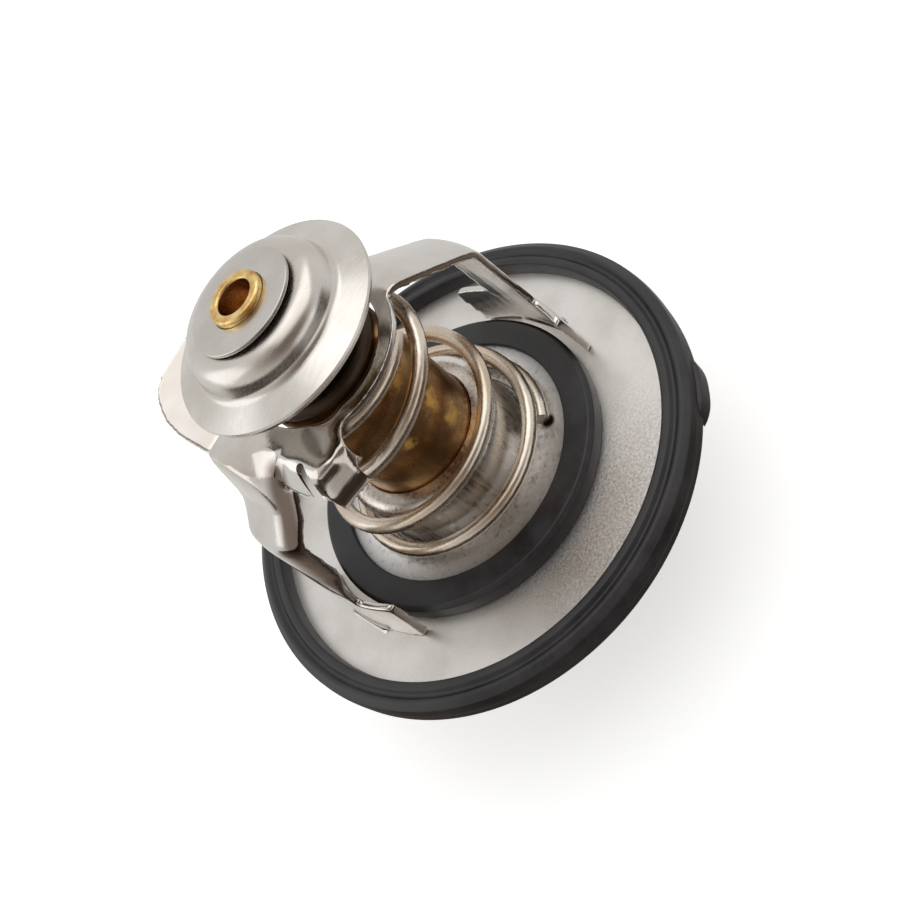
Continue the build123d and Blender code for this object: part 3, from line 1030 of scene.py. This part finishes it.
@dataclass
class Bridges:
    """The two stamped bridges: one carries the spring, one holds the piston's end.

    The pairs from ear to drawn say where a bend starts and over how many mm it comes in.
    """

    voxel_mm: float = 0.18
    passes: int = 18
    strap_coarser: float = 1.2
    worn_mm: float = 0.15
    sheet: float = 1.1
    height: float = 27.2
    hub_edge: float = 10.8
    shoulder: float = 19.05
    shoulder_height: float = 18.9
    ear_side: Pair = (2.5, 1.4)
    ear_low: Pair = (24.6, 1.2)
    roll_side: float = 0.8
    roll_curve: float = 0.12
    roll_out: Pair = (11.5, 4.5)
    roll_foot: Pair = (9.6, 3.0)
    roll_shoulder: Pair = (18.0, 6.0)
    drawn_side: Pair = (4.4, 2.0)
    drawn_low: Pair = (19.0, 2.0)
    drawn_out: Pair = (3.4, 1.5)
    flap_edge: float = -14.0
    flap_root: float = 7.0
    flap_fade: float = 2.2
    flap_taper: float = 2.7
    flap_hollow: float = 0.75
    flap_side: float = -4.2
    fold_side: float = -4.6
    fold_start: float = 3.0
    fold_foot: float = -18.5
    ridge_middle: Pair = (-7.4, -9.3)
    ridge_slope: float = 0.25
    hook_start: float = -12.4
    hook_back: float = 1.5
    hook_span: float = 4.1
    hook_reach: float = 2.6
    hook_fall: float = 3.7
    hook_thicker: float = 0.8
    flow_steps: int = 16
    flap_step: float = 0.35
    flap_rows: int = 24
    hook_step: float = 0.45
    hook_rows: int = 12
    tongue_starts: Pair = (-21.65, 19.55)
    tongue_length: float = 2.1
    tongue_half_width: float = 3.5
    tongue_bottom: float = -1.2
    tongue_top: float = 0.15
    slot_middle: Pair = (-11.4, -7.6)
    slot_turn: float = 56.0
    slot_length: float = 2.2
    slot_half_width: float = 0.6
    slot_heights: Pair = (20.0, 30.0)
    slot_end_steps: int = 8

    def build(self) -> None:
        """Builds both bridges from the pressed shapes, with eased edges."""
        polished = PressedSteel(
            "polished_pressed_steel_bridge",
            light="d6d3cf",
            warm="c9c1b8",
            rough=(0.1, 0.16),
            wave_mm=7.0,
            wave_relief=(0.2, 0.6),
            grain_relief=(0.02, 0.35),
            # Painted reflection: the brown band lies along the near leg's rolled edge.
            painted_reflection_line=((-12.2, -2.9, 25.7), (-20.0, -4.2, 17.6)),
        ).material()
        strap = PressedSteel(
            "pressed_steel_strap", light="dad6d0", warm="b4a89c", rough=(0.2, 0.36)
        ).material()
        lower = softened(
            "lower_bridge",
            "pressed_lower_bridge",
            self.voxel_mm,
            self.passes,
            self.pressed_flow(),
            self.press,
            self.worn_mm,
            self.drawn,
        )
        self.cut_slot(lower)
        place(lower, Body.HOUSING, "bridge_steel", polished, ("lower_bridge",), 60.0)
        lower.data.materials.append(SatinSteel("rolled_satin_steel_round_tongue").material())
        for face in lower.data.polygons:
            face.material_index = int(face.center.z < self.tongue_top * MM)
        coarse = self.voxel_mm * self.strap_coarser
        upper = softened("upper_bridge", "pressed_upper_bridge", coarse, self.passes // 2)
        place(upper, Body.HOUSING, "bridge_steel", strap, ("upper_bridge",), 60.0)

    def press(self, x: float, y: float, z: float) -> Point:
        """Bends the ear down with its arm, and rolls in the near edge of that leg.

        Args:
            x: place along the bridge, in millimetres.
            y: place across it.
            z: height.

        Returns:
            The point's new place, in millimetres.
        """
        outside = -x - self.hub_edge
        if outside > 0 and -y > self.ear_side[0]:
            z -= self.slope() * outside * ease(-y, *self.ear_side) * ease(z, *self.ear_low)
        if -x > self.roll_out[0] and -y > self.roll_side:
            roll = self.roll_curve * (-y - self.roll_side) ** 2
            roll *= ease(-x, *self.roll_out) * ease(z, *self.roll_foot)
            level = ease(z, *self.roll_shoulder)
            x += roll * (1 - level)
            z -= roll * level
        return x, y, z

    def drawn(self, x: float, y: float, z: float) -> float:
        """Gives how far deep drawing rounds a place: fully at the ear and its hook."""
        return ease(-y, *self.drawn_side) * ease(z, *self.drawn_low) * ease(-x, *self.drawn_out)

    def slope(self) -> float:
        """Gives how far the arm falls for each millimetre outwards."""
        fall = self.height - self.sheet / 2 - self.shoulder_height
        return fall / (self.shoulder - self.hub_edge)

    def arm(self, x: float, y: float) -> float:
        """Gives the height of the arm's middle surface at a place."""
        outside = max(math.hypot(x, y) - self.hub_edge, 0.0)
        return self.height - self.sheet / 2 - self.slope() * outside

    def arm_top(self, x: float, y: float) -> float:
        """Gives the arm's upper surface, filled up towards the flap."""
        half = self.sheet / 2
        fill = ease(y, self.fold_side, self.fold_start - self.fold_side)
        fill *= 1 - ease(-x, -self.flap_edge, self.flap_fade)
        return self.arm(x, y) + half + fill * (self.height - half - self.arm(x, y))

    def arm_low(self, x: float, y: float) -> float:
        """Gives the arm's lower surface."""
        return self.arm(x, y) - self.sheet / 2

    def flap_way(self, x: float, share: float) -> float:
        """Gives where along Y a share of the filled flap lies."""
        along = max((x - self.flap_edge) / (self.fold_foot - self.flap_edge), 0.0)
        root = self.flap_root - self.flap_taper * along**self.flap_hollow
        return self.flap_side + share * (root - self.flap_side)

    def ridge(self, x: float) -> float:
        """Gives where along Y the ear turns down into the hook."""
        return self.ridge_middle[1] - self.ridge_slope * (x - self.ridge_middle[0])

    def over_ridge(self, x: float, y: float) -> float:
        """Gives how far a place is past the ridge, as a share of the hook's reach."""
        return max(self.ridge(x) - y, 0.0) / self.hook_reach

    def hook_top(self, x: float, y: float) -> float:
        """Gives the hook's upper surface."""
        return self.height - self.hook_fall * self.over_ridge(x, y) ** 2

    def hook_low(self, x: float, y: float) -> float:
        """Gives the hook's lower surface, a little thicker towards its end."""
        thickness = self.sheet + self.hook_thicker * self.over_ridge(x, y)
        return self.hook_top(x, y) - thickness

    def hook_way(self, x: float, share: float) -> float:
        """Gives where along Y a share of the hook lies."""
        return self.ridge(x) + self.hook_back - self.hook_span * share

    def pressed_flow(self) -> list[Object]:
        """Makes the metal that flows from the arm into the flap and from the ear into the hook."""
        shares = [step / self.flow_steps for step in range(self.flow_steps + 1)]
        along = [self.fold_foot + step * self.flap_step for step in range(self.flap_rows)]
        hung = [self.hook_start + step * self.hook_step for step in range(self.hook_rows)]
        sides = [-self.tongue_half_width, self.tongue_half_width]
        tongues = [
            filled(
                "tongue_in_slot",
                [start, start + self.tongue_length],
                sides,
                lambda x, y: self.worn_mm,
                lambda x, y: self.tongue_bottom,
            )
            for start in self.tongue_starts
        ]
        return tongues + [
            filled("flap_flow", along, shares, self.arm_top, self.arm_low, self.flap_way),
            filled("ear_flow", hung, shares, self.hook_top, self.hook_low, self.hook_way),
        ]

    def cut_slot(self, piece: Object) -> None:
        """Punches the slot through the ear."""
        x, y = self.slot_middle
        outline: list[Pair] = []
        for side, start in ((1, -90), (-1, 90)):
            for step in range(self.slot_end_steps + 1):
                angle = start + 180 * step / self.slot_end_steps
                along, across = swung(self.slot_half_width, 0.0, angle)
                along += side * self.slot_length / 2
                out_x, out_y = swung(along, across, self.slot_turn)
                outline.append((x + out_x, y + out_y))
        count = len(outline)
        verts = [metres(*point, z) for z in self.slot_heights for point in outline]
        faces = [list(range(count)), list(range(count, 2 * count))]
        for at in range(count):
            after = (at + 1) % count
            faces.append([at, after, count + after, count + at])
        punch = mesh_object("slot_punch", verts, faces)
        cut = piece.modifiers.new("punched_slot", "BOOLEAN")
        cut.operation = "DIFFERENCE"
        cut.solver = "MANIFOLD"
        cut.object = punch
        evaluated_copy(piece)
        bpy.data.objects.remove(punch)


@dataclass
class Valve:
    """The main valve on the capsule: collar, plate and rubber ring."""

    capsule_radius: float = 7.5
    collar_radius: float = 10.2
    collar_sheet: float = 0.8
    collar_top: float = 9.6
    collar_round: float = 2.1
    collar_bend: float = 0.9
    collar_foot: float = 2.2
    plate_bottom: float = 1.0
    plate_top: float = 1.9
    rubber_inner: float = 15.1
    rubber_outer: float = 18.7
    rubber_top: float = 2.4
    rubber_wall: float = 0.8
    clearance: float = 0.05

    def build(self) -> None:
        """Builds and dresses the valve's three visible pieces."""
        collar = DrawnSteel("deep_drawn_steel_collar").material()
        place(self.collar(), Body.VALVE, "collar_steel", collar, ("valve_collar",))
        zinc = MottledZinc("zinc_coated_steel_plate").material()
        place(self.plate(), Body.VALVE, "plate_zinc", zinc, ("valve_plate",))
        rubber = MouldedRubber(
            "moulded_rubber_valve_ring", "1a191b", "2f2d30", rough=(0.28, 0.5), dust_mm=4.0
        ).material()
        place(self.rubber(), Body.VALVE, "valve_rubber", rubber, ("valve_rubber",))

    def collar(self) -> Object:
        """Makes the drawn collar over the capsule's crimp."""
        half = self.collar_sheet / 2
        mid = self.collar_radius - half
        top = self.collar_top - half
        low = self.plate_bottom - half
        corners = [
            Corner(self.capsule_radius + self.clearance, top),
            Corner(mid, top, self.collar_round),
            Corner(mid, low, self.collar_bend),
            Corner(mid + self.collar_foot, low),
        ]
        return turned("drawn_collar", sheet_outline(corners, self.collar_sheet, 14), 200)

    def plate(self) -> Object:
        """Makes the valve plate, its edges eased."""
        inner = self.collar_radius + self.collar_bend - self.collar_sheet / 2 + self.clearance
        outer = self.rubber_outer - self.rubber_wall
        corners = [
            Corner(inner, self.plate_bottom, 0.1),
            Corner(outer, self.plate_bottom, 0.1),
            Corner(outer, self.plate_top, 0.1),
            Corner(inner, self.plate_top, 0.25),
        ]
        return turned("zinc_valve_plate", rounded(corners))

    def rubber(self) -> Object:
        """Makes the rubber ring round the plate's rim."""
        inner, outer = self.rubber_inner, self.rubber_outer
        plate_edge = outer - self.rubber_wall + self.clearance
        plate_top = self.plate_top + 0.01
        corners = [
            Corner(inner, 0.0, 0.15),
            Corner(outer, 0.0, 0.2),
            Corner(outer, self.plate_top, 0.3),
            Corner(outer - 0.5, self.rubber_top, 0.35),
            Corner(inner, self.rubber_top, 0.3),
            Corner(inner, plate_top),
            Corner(plate_edge, plate_top),
            Corner(plate_edge, self.plate_bottom),
            Corner(inner, self.plate_bottom),
        ]
        return turned("valve_rubber_ring", rounded(corners), 200)


@dataclass
class Capsule:
    """The wax capsule, what is inside it, and the piston."""

    radius: float = 7.5
    top: float = 28.6
    wall: float = 1.0
    mouth_radius: float = 8.5
    mouth_top: float = 8.75
    guide_top: float = 8.0
    guide_thickness: float = 2.0
    crimp: float = 0.8
    crimp_reach: float = 1.6
    diaphragm: float = 0.7
    clearance: float = 0.05
    piston_radius: float = 2.0
    piston_end: float = -21.2
    disc_bottom: float = 2.2
    # Angle, height and reach of each gold patch on the wall
    bright_places: tuple[Point, ...] = (
        (-75.6, 22.3, 1.5),
        (-71.6, 24.0, 1.1),
        (-70.2, 16.7, 1.7),
        (-69.4, 12.4, 1.8),
        (-79.0, 19.4, 0.9),
        (-111.2, 16.2, 1.4),
    )

    def build(self) -> None:
        """Builds the cup and the piston and dresses the inner pieces."""
        spots = tuple(
            ((*swung(self.radius, 0.0, angle), height), reach)
            for angle, height, reach in self.bright_places
        )
        aged_and_shaded = Brass(
            "drawn_brass_darkened_by_heat_and_painted_end_shade",
            light="c59c6d",
            dark="8a6743",
            patch_mm=3.2,
            low=0.34,
            high=0.66,
            rough=(0.38, 0.24),
            spots=spots,
            stretch=0.6,
            # Painted shade: the cup's end is dark brown from this height up.
            painted_end_shade_mm=26.6,
        ).material()
        place(self.cup(), Body.VALVE, "capsule_brass", aged_and_shaded, ("capsule_cup",))
        guide = Brass("turned_brass_guide", "c9a463", "9a7842", 2.0, 0.35, 0.65, (0.4, 0.26))
        dress("capsule_guide", guide.material())
        dress("wax_pellet", Wax("wax_with_copper_powder").material())
        inner = MouldedRubber(
            "moulded_inner_rubber", dark="1c1b1c", light="2c2b2b", rough=(0.44, 0.66)
        ).material()
        for node in ("diaphragm", "rubber_plug", "guide_seal"):
            dress(node, inner)
        white = MouldedRubber(
            "turned_white_fluoropolymer", dark="dcdcd8", light="efefec", rough=(0.39, 0.61)
        )
        dress("anti_extrusion_disc", white.material())
        ground = PressedSteel(
            "ground_steel_pin",
            light="e4e4e6",
            warm="cfcfd2",
            rough=(0.12, 0.2),
            wave_relief=(0.04, 0.6),
        ).material()
        place(self.piston(), Body.HOUSING, "piston_steel", ground, ("piston",))

    def cup(self) -> Object:
        """Makes the drawn cup with its rounded end."""
        inner = self.radius - self.wall
        low = self.guide_top - self.guide_thickness
        foot = low - self.crimp
        lip = self.mouth_radius - self.wall
        seat = self.guide_top + self.diaphragm
        corners = [
            Corner(0.0, self.top),
            Corner(self.radius, self.top, 1.6),
            Corner(self.radius, self.mouth_top, 0.3),
            Corner(self.mouth_radius, self.mouth_top - 0.9, 0.3),
            Corner(self.mouth_radius, foot, 0.4),
            Corner(lip - self.crimp_reach, foot, 0.2),
            Corner(lip - self.crimp_reach, low),
            Corner(lip + self.clearance, low),
            Corner(lip + self.clearance, seat),
            Corner(inner, seat),
            Corner(inner, self.top - self.wall, 1.4),
            Corner(0.0, self.top - self.wall),
        ]
        return turned("brass_capsule_cup", rounded(corners, steps=10), 180)

    def piston(self) -> Object:
        """Makes the ground pin."""
        corners = [
            Corner(0.0, self.piston_end),
            Corner(self.piston_radius, self.piston_end, 0.3),
            Corner(self.piston_radius, self.disc_bottom, 0.3),
            Corner(0.0, self.disc_bottom),
        ]
        return turned("ground_piston_pin", rounded(corners), 96)


@dataclass
class Bypass:
    """The bypass valve: hollow stem, stepped disc and washer."""

    capsule_top: float = 28.6
    stem_radius: float = 3.1
    stem_foot: float = 4.2
    tip: float = 39.2
    bore_radius: float = 2.0
    bore_floor: float = 35.6
    crown_top: float = 37.8
    crown_radius: float = 7.9
    dome_foot: float = 8.6
    rim_height: float = 33.8
    rim_cone: float = 0.7
    rim_radius: float = 12.1
    sheet: float = 0.8
    washer_radius: float = 6.1
    washer_sheet: float = 0.45
    washer_lift: float = 0.2
    washer_high_side: float = -80.0

    def build(self) -> None:
        """Builds and dresses the bypass valve."""
        bright = Brass(
            "turned_bright_brass_stem",
            light="f2d596",
            dark="c0914c",
            patch_mm=1.3,
            low=0.3,
            high=0.62,
            rough=(0.34, 0.2),
            # Inside this radius the bore gets its painted light and shade.
            bore_mm=self.bore_radius,
        ).material()
        place(self.stem(), Body.VALVE, "stem_brass", bright, ("bypass_stem",))
        stamped = PressedSteel(
            "stamped_fine_grained_steel",
            light="d9d6d2",
            warm="cbc5bd",
            rough=(0.22, 0.3),
            wave_relief=(0.08, 0.6),
            grain_relief=(0.01, 0.35),
        ).material()
        place(self.disc(), Body.BYPASS, "bypass_steel", stamped, ("bypass_disc",))
        washer = PressedSteel(
            "stamped_steel_washer",
            light="d2d0cd",
            warm="c6c1bb",
            rough=(0.24, 0.32),
            wave_relief=(0.04, 0.6),
            grain_relief=(0.01, 0.35),
        ).material()
        place(self.washer(), Body.VALVE, "washer_steel", washer, ("bypass_washer",))

    def stem(self) -> Object:
        """Makes the hollow stem with its rounded mouth."""
        corners = [
            Corner(0.0, self.capsule_top),
            Corner(self.stem_foot, self.capsule_top, 0.1),
            Corner(self.stem_foot, self.capsule_top + 0.8, 0.2),
            Corner(self.stem_radius, self.capsule_top + 1.1, 0.2),
            Corner(self.stem_radius, self.tip, 0.35),
            Corner(self.bore_radius, self.tip, 0.3),
            Corner(self.bore_radius, self.bore_floor, 0.3),
            Corner(0.0, self.bore_floor - 0.6),
        ]
        return turned("hollow_brass_stem", rounded(corners, steps=8), 128)

    def disc(self) -> Object:
        """Makes the stepped disc: crown, dome, hollow foot and coned rim."""
        half = self.sheet / 2
        corners = [
            Corner(self.stem_radius + 0.1, self.crown_top - half),
            Corner(self.crown_radius, self.crown_top - half, 2.0),
            Corner(self.dome_foot, self.rim_height + self.rim_cone, 1.5),
            Corner(self.rim_radius - 0.05, self.rim_height - half),
        ]
        return turned("stepped_bypass_disc", sheet_outline(corners, self.sheet, 16), 220)

    def washer(self) -> Object:
        """Makes the thin washer, which sits a little askew, with a gap on the near side."""
        low = self.crown_top + self.washer_lift
        top = low + self.washer_sheet
        hole = self.stem_radius + 0.05
        corners = [
            Corner(hole, low, 0.05),
            Corner(self.washer_radius, low, 0.12),
            Corner(self.washer_radius, top, 0.14),
            Corner(hole, top, 0.1),
        ]
        washer = turned("stamped_washer", rounded(corners))
        high_x, high_y = swung(self.washer_lift / self.washer_radius, 0.0, self.washer_high_side)
        for vertex in washer.data.vertices:
            vertex.co.z += vertex.co.x * high_x + vertex.co.y * high_y
        return washer


def between(stations: list[float], half_turns: float) -> float:
    """Gives a smooth value between stations that stand half a turn apart."""
    last = len(stations) - 1
    first = min(int(half_turns), last - 1)
    share = half_turns - first
    before = stations[max(first - 1, 0)]
    low = stations[first]
    high = stations[first + 1]
    after = stations[min(first + 2, last)]
    bend = 2 * before - 5 * low + 4 * high - after
    twist = 3 * (low - high) + after - before
    return low + share / 2 * (high - before + share * (bend + share * twist))


def wire_tree(material: Material) -> NodeTree:
    """Builds the node tree that turns a path of edges into round wire with closed ends.

    Args:
        material: what Set Material gives the wire.

    Returns:
        The tree, with its sizes as named inputs.
    """
    tree = bpy.data.node_groups.new("wire_along_path", "GeometryNodeTree")
    for name, way, kind in (
        ("Geometry", "INPUT", "Geometry"),
        ("Wire radius", "INPUT", "Float"),
        ("Sides", "INPUT", "Int"),
        ("Seed", "INPUT", "Int"),
        ("Geometry", "OUTPUT", "Geometry"),
    ):
        tree.interface.new_socket(name, in_out=way, socket_type="NodeSocket" + kind)
    given = add(tree, "NodeGroupInput").outputs
    path = add(tree, "GeometryNodeMeshToCurve", {"Mesh": given["Geometry"]})
    limits = {"Seed": given["Seed"], 2: 0.996, 3: 1.0}
    uneven = add(tree, "FunctionNodeRandomValue", limits, data_type="FLOAT")
    swollen = add(tree, "GeometryNodeSetCurveRadius", {"Curve": path, "Radius": uneven})
    round_size = {"Resolution": given["Sides"], "Radius": given["Wire radius"]}
    ring = add(tree, "GeometryNodeCurvePrimitiveCircle", round_size)
    swept = {"Curve": swollen, "Profile Curve": ring, "Fill Caps": True}
    wire = add(tree, "GeometryNodeCurveToMesh", swept)
    real = add(tree, "GeometryNodeRealizeInstances", {"Geometry": wire})
    dressed = add(tree, "GeometryNodeSetMaterial", {"Geometry": real, "Material": material})
    add(tree, "NodeGroupOutput", {"Geometry": dressed})
    return tree


@dataclass
class CoilSpring:
    """One wound wire spring: its route by half turns, made into wire by a node tree."""

    name: str
    node: str
    body: Body
    radii: list[float]
    rises: list[float]
    low_seat: float
    high_seat: float
    wire: float
    joint: str
    anchor: float
    travel: float
    start_angle: float = 0.0
    seat_gap: float = 0.05
    steps_per_half_turn: int = 24
    sides: int = 28
    seed: int = 7

    def route(self) -> list[Point]:
        """Gives the points of the wire's centre line, in metres."""
        bottom = self.low_seat + self.wire / 2 + self.seat_gap
        top = self.high_seat - self.wire / 2 - self.seat_gap
        points = []
        for step in range(self.steps_per_half_turn * (len(self.radii) - 1) + 1):
            at = step / self.steps_per_half_turn
            x, y = swung(between(self.radii, at), 0.0, self.start_angle + 180 * at)
            points.append(metres(x, y, bottom + (top - bottom) * between(self.rises, at)))
        return points

    def build(self, material: Material) -> None:
        """Winds the wire and cuts both ends square."""
        points = self.route()
        mesh = bpy.data.meshes.new(self.name)
        mesh.from_pydata(points, [(at, at + 1) for at in range(len(points) - 1)], [])
        spring = linked(self.name, mesh)
        wound = spring.modifiers.new("wound_wire", "NODES")
        wound.node_group = wire_tree(material)
        sizes = {"Wire radius": self.wire / 2 * MM, "Sides": self.sides, "Seed": self.seed}
        for item in wound.node_group.interface.items_tree:
            if item.in_out == "INPUT" and item.name in sizes:
                wound[item.identifier] = sizes[item.name]
        evaluated_copy(spring)
        weld(spring.data)
        place(spring, self.body, "spring_steel", material, (self.node,), 50.0)
        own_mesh(spring)


@dataclass
class Springs:
    """The conical main spring and the small bypass spring."""

    plate_top: float = 1.9
    bridge_height: float = 27.2
    bridge_sheet: float = 1.1
    wire: float = 1.8
    small_wire: float = 1.0
    small_radius: float = 5.0
    capsule_top: float = 28.6
    crown_top: float = 37.8
    disc_sheet: float = 0.8
    valve_travel: float = 7.0
    bypass_travel: float = 3.0
    start_angle: float = -50.0
    main_radii: list[float] = field(
        default_factory=lambda: [12.7, 11.9, 12.2, 12.0, 10.95, 10.3, 9.65, 9.1, 8.7]
    )
    main_rises: list[float] = field(
        default_factory=lambda: [0, 0.012, 0.089, 0.252, 0.405, 0.549, 0.875, 0.985, 1]
    )
    small_rises: list[float] = field(default_factory=lambda: [0, 0.05, 0.22, 0.5, 0.78, 0.95, 1])

    def build(self) -> None:
        """Winds both springs."""
        steel = PressedSteel(
            "drawn_stainless_spring_wire",
            light="e4dacd",
            warm="cdbca8",
            rough=(0.24, 0.32),
            wave_relief=(0.04, 0.6),
            grain_mm=0.3,
            grain_relief=(0.015, 0.35),
        ).material()
        under_bridge = self.bridge_height - self.bridge_sheet
        CoilSpring(
            "conical_main_spring",
            "main_spring",
            Body.HOUSING,
            self.main_radii,
            self.main_rises,
            self.plate_top,
            under_bridge,
            self.wire,
            "valve_slide",
            under_bridge,
            self.valve_travel,
            self.start_angle,
        ).build(steel)
        CoilSpring(
            "small_bypass_spring",
            "bypass_spring",
            Body.VALVE,
            [self.small_radius] * len(self.small_rises),
            self.small_rises,
            self.capsule_top,
            self.crown_top - self.disc_sheet,
            self.small_wire,
            "bypass_slide",
            self.capsule_top,
            self.bypass_travel,
        ).build(steel)


# Studio


@dataclass(frozen=True)
class Softbox:
    """A square soft lamp, in metres and watts; it stands right, up and towards the camera."""

    name: str
    towards: Point
    distance: float
    size: float
    power: float


@dataclass
class Studio:
    """Floor, light and camera of the photograph's studio."""

    camera_place: Point = (-14.64, -94.87, 101.76)
    right: Point = (0.5013, -0.6618, -0.5575)
    up: Point = (0.8580, 0.2972, 0.4189)
    back: Point = (-0.1115, -0.6883, 0.7168)
    focal_pixels: float = 1183.0
    sensor_mm: float = 36.0
    lamp_centre: Point = (0.0, 0.0, 0.01)
    lamps: tuple[Softbox, ...] = (
        Softbox("key_softbox", (-0.35, 0.75, 0.75), 0.46, 0.48, 0.7),
        Softbox("fill_softbox", (0.8, -0.1, 0.6), 0.5, 0.44, 0.34),
        Softbox("rim_softbox", (-0.9, -0.2, 0.15), 0.45, 0.34, 0.25),
    )
    floor_height: float = -22.3
    floor_half: float = 1.5
    floor_glow: float = 0.45
    floor_mirrored: float = 0.9
    # Where the floor's painted reflection tone runs from dark to light
    reflection_tone_way: Point = (0.5, 1.0, 0.0)
    reflection_tone_near: float = -0.1
    reflection_tone_far: float = 0.03
    world_level: float = 0.62
    glossy_level: float = 0.9

    def build(self) -> None:
        """Builds the studio."""
        self.camera()
        self.floor()
        self.world()
        for softbox in self.lamps:
            self.lamp(softbox)
        bpy.context.scene.view_settings.view_transform = "Standard"

    def camera(self) -> None:
        """Puts the camera where the photograph was taken."""
        data = bpy.data.cameras.new("photo_camera")
        data.sensor_width = self.sensor_mm
        data.lens = self.sensor_mm * self.focal_pixels / PHOTO_PIXELS
        data.clip_start = 0.001
        data.clip_end = 10.0
        camera = linked("photo_camera", data)
        turn = Matrix((self.right, self.up, self.back)).transposed().to_4x4()
        camera.matrix_world = Matrix.Translation(Vector(self.camera_place) * MM) @ turn
        bpy.context.scene.camera = camera

    def lamp(self, softbox: Softbox) -> None:
        """Adds a soft lamp that faces the object."""
        data = bpy.data.lights.new(softbox.name, "AREA")
        data.shape = "SQUARE"
        data.size = softbox.size
        data.energy = softbox.power
        lamp = linked(softbox.name, data)
        axes = Matrix((self.right, self.up, self.back)).transposed()
        way = (axes @ Vector(softbox.towards)).normalized()
        stand = Matrix.Translation(Vector(self.lamp_centre) + way * softbox.distance)
        lamp.matrix_world = stand @ way.to_track_quat("Z", "Y").to_matrix().to_4x4()

    def floor(self) -> None:
        """Lays the plain pale floor below the lower end, darker on the near side in reflections."""
        half = self.floor_half
        height = self.floor_height * MM
        places = [(x * half, y * half, height) for x, y in ((-1, -1), (1, -1), (1, 1), (-1, 1))]
        floor = mesh_object("studio_floor", places, [[0, 1, 2, 3]])
        material, tree, shader, place_at = new_material("matt_white_paper_floor")
        feed(tree, shader, {"Base Color": linear("f4f4f4"), "Roughness": 0.8})
        rays = add(tree, "ShaderNodeLightPath").outputs
        glow = {"Color": linear("ffffff"), "Strength": self.floor_glow}
        white = add(tree, "ShaderNodeEmission", glow)
        both = add(tree, "ShaderNodeAddShader", {0: shader, 1: white})
        seen = {"Fac": rays["Is Camera Ray"], 1: shader, 2: both}
        mixed = add(tree, "ShaderNodeMixShader", seen)
        # Painted reflection: glossy rays see the floor glow with a tone from dark brown on the near
        # side to near white.
        ends = {0: place_at, 1: self.reflection_tone_way}
        split = add(tree, "ShaderNodeVectorMath", ends, operation="DOT_PRODUCT")
        span = {"Value": split, "From Min": self.reflection_tone_near, "From Max": self.reflection_tone_far}
        ahead = add(tree, "ShaderNodeMapRange", span)
        stops = [(0.0, "3e342d"), (0.6, "7a6b60"), (0.82, "cfcac4"), (1.0, "f2f1ef")]
        tone = add(tree, "ShaderNodeValToRGB", {"Fac": ahead}, stops)
        glow = {"Color": tone, "Strength": self.floor_mirrored}
        mirrored = add(tree, "ShaderNodeEmission", glow)
        shown = {"Fac": rays["Is Glossy Ray"], 1: mixed, 2: mirrored}
        last = add(tree, "ShaderNodeMixShader", shown)
        feed(tree, tree.nodes["Material Output"], {"Surface": last})
        floor.data.materials.append(material)

    def world(self) -> None:
        """Lights the studio softly: white, and greyer towards the camera for reflections."""
        world = bpy.data.worlds.new("white_studio")
        bpy.context.scene.world = world
        world.use_nodes = True
        tree = world.node_tree
        tree.nodes.clear()
        rays = add(tree, "ShaderNodeLightPath").outputs
        way = add(tree, "ShaderNodeTexCoord").outputs["Generated"]
        ends = {0: way, 1: self.back}
        facing = add(tree, "ShaderNodeVectorMath", ends, operation="DOT_PRODUCT")
        stops = [(0.0, "f4f3f1"), (0.55, "e9e6e2"), (0.8, "b3aaa2"), (0.95, "7d7067")]
        tone = add(tree, "ShaderNodeValToRGB", {"Fac": facing}, stops)
        soft, glossy, white = (
            add(tree, "ShaderNodeBackground", {"Color": colour, "Strength": level})
            for colour, level in (
                (linear("f3f2f0"), self.world_level),
                (tone, self.glossy_level),
                (linear("ffffff"), 1.0),
            )
        )
        shown = {"Fac": rays["Is Glossy Ray"], 1: soft, 2: glossy}
        first = add(tree, "ShaderNodeMixShader", shown)
        seen = {"Fac": rays["Is Camera Ray"], 1: first, 2: white}
        second = add(tree, "ShaderNodeMixShader", seen)
        add(tree, "ShaderNodeOutputWorld", {"Surface": second})


def main() -> None:
    """Builds the studio and every sub-assembly in order."""
    logging.basicConfig(level=logging.INFO, format="%(name)s: %(message)s")
    Studio().build()
    for assembly in (Rim(), Bridges(), Valve(), Capsule(), Bypass(), Springs()):
        assembly.build()
        log.info("%s is done", type(assembly).__name__)


if __name__ == "__main__":
    main()
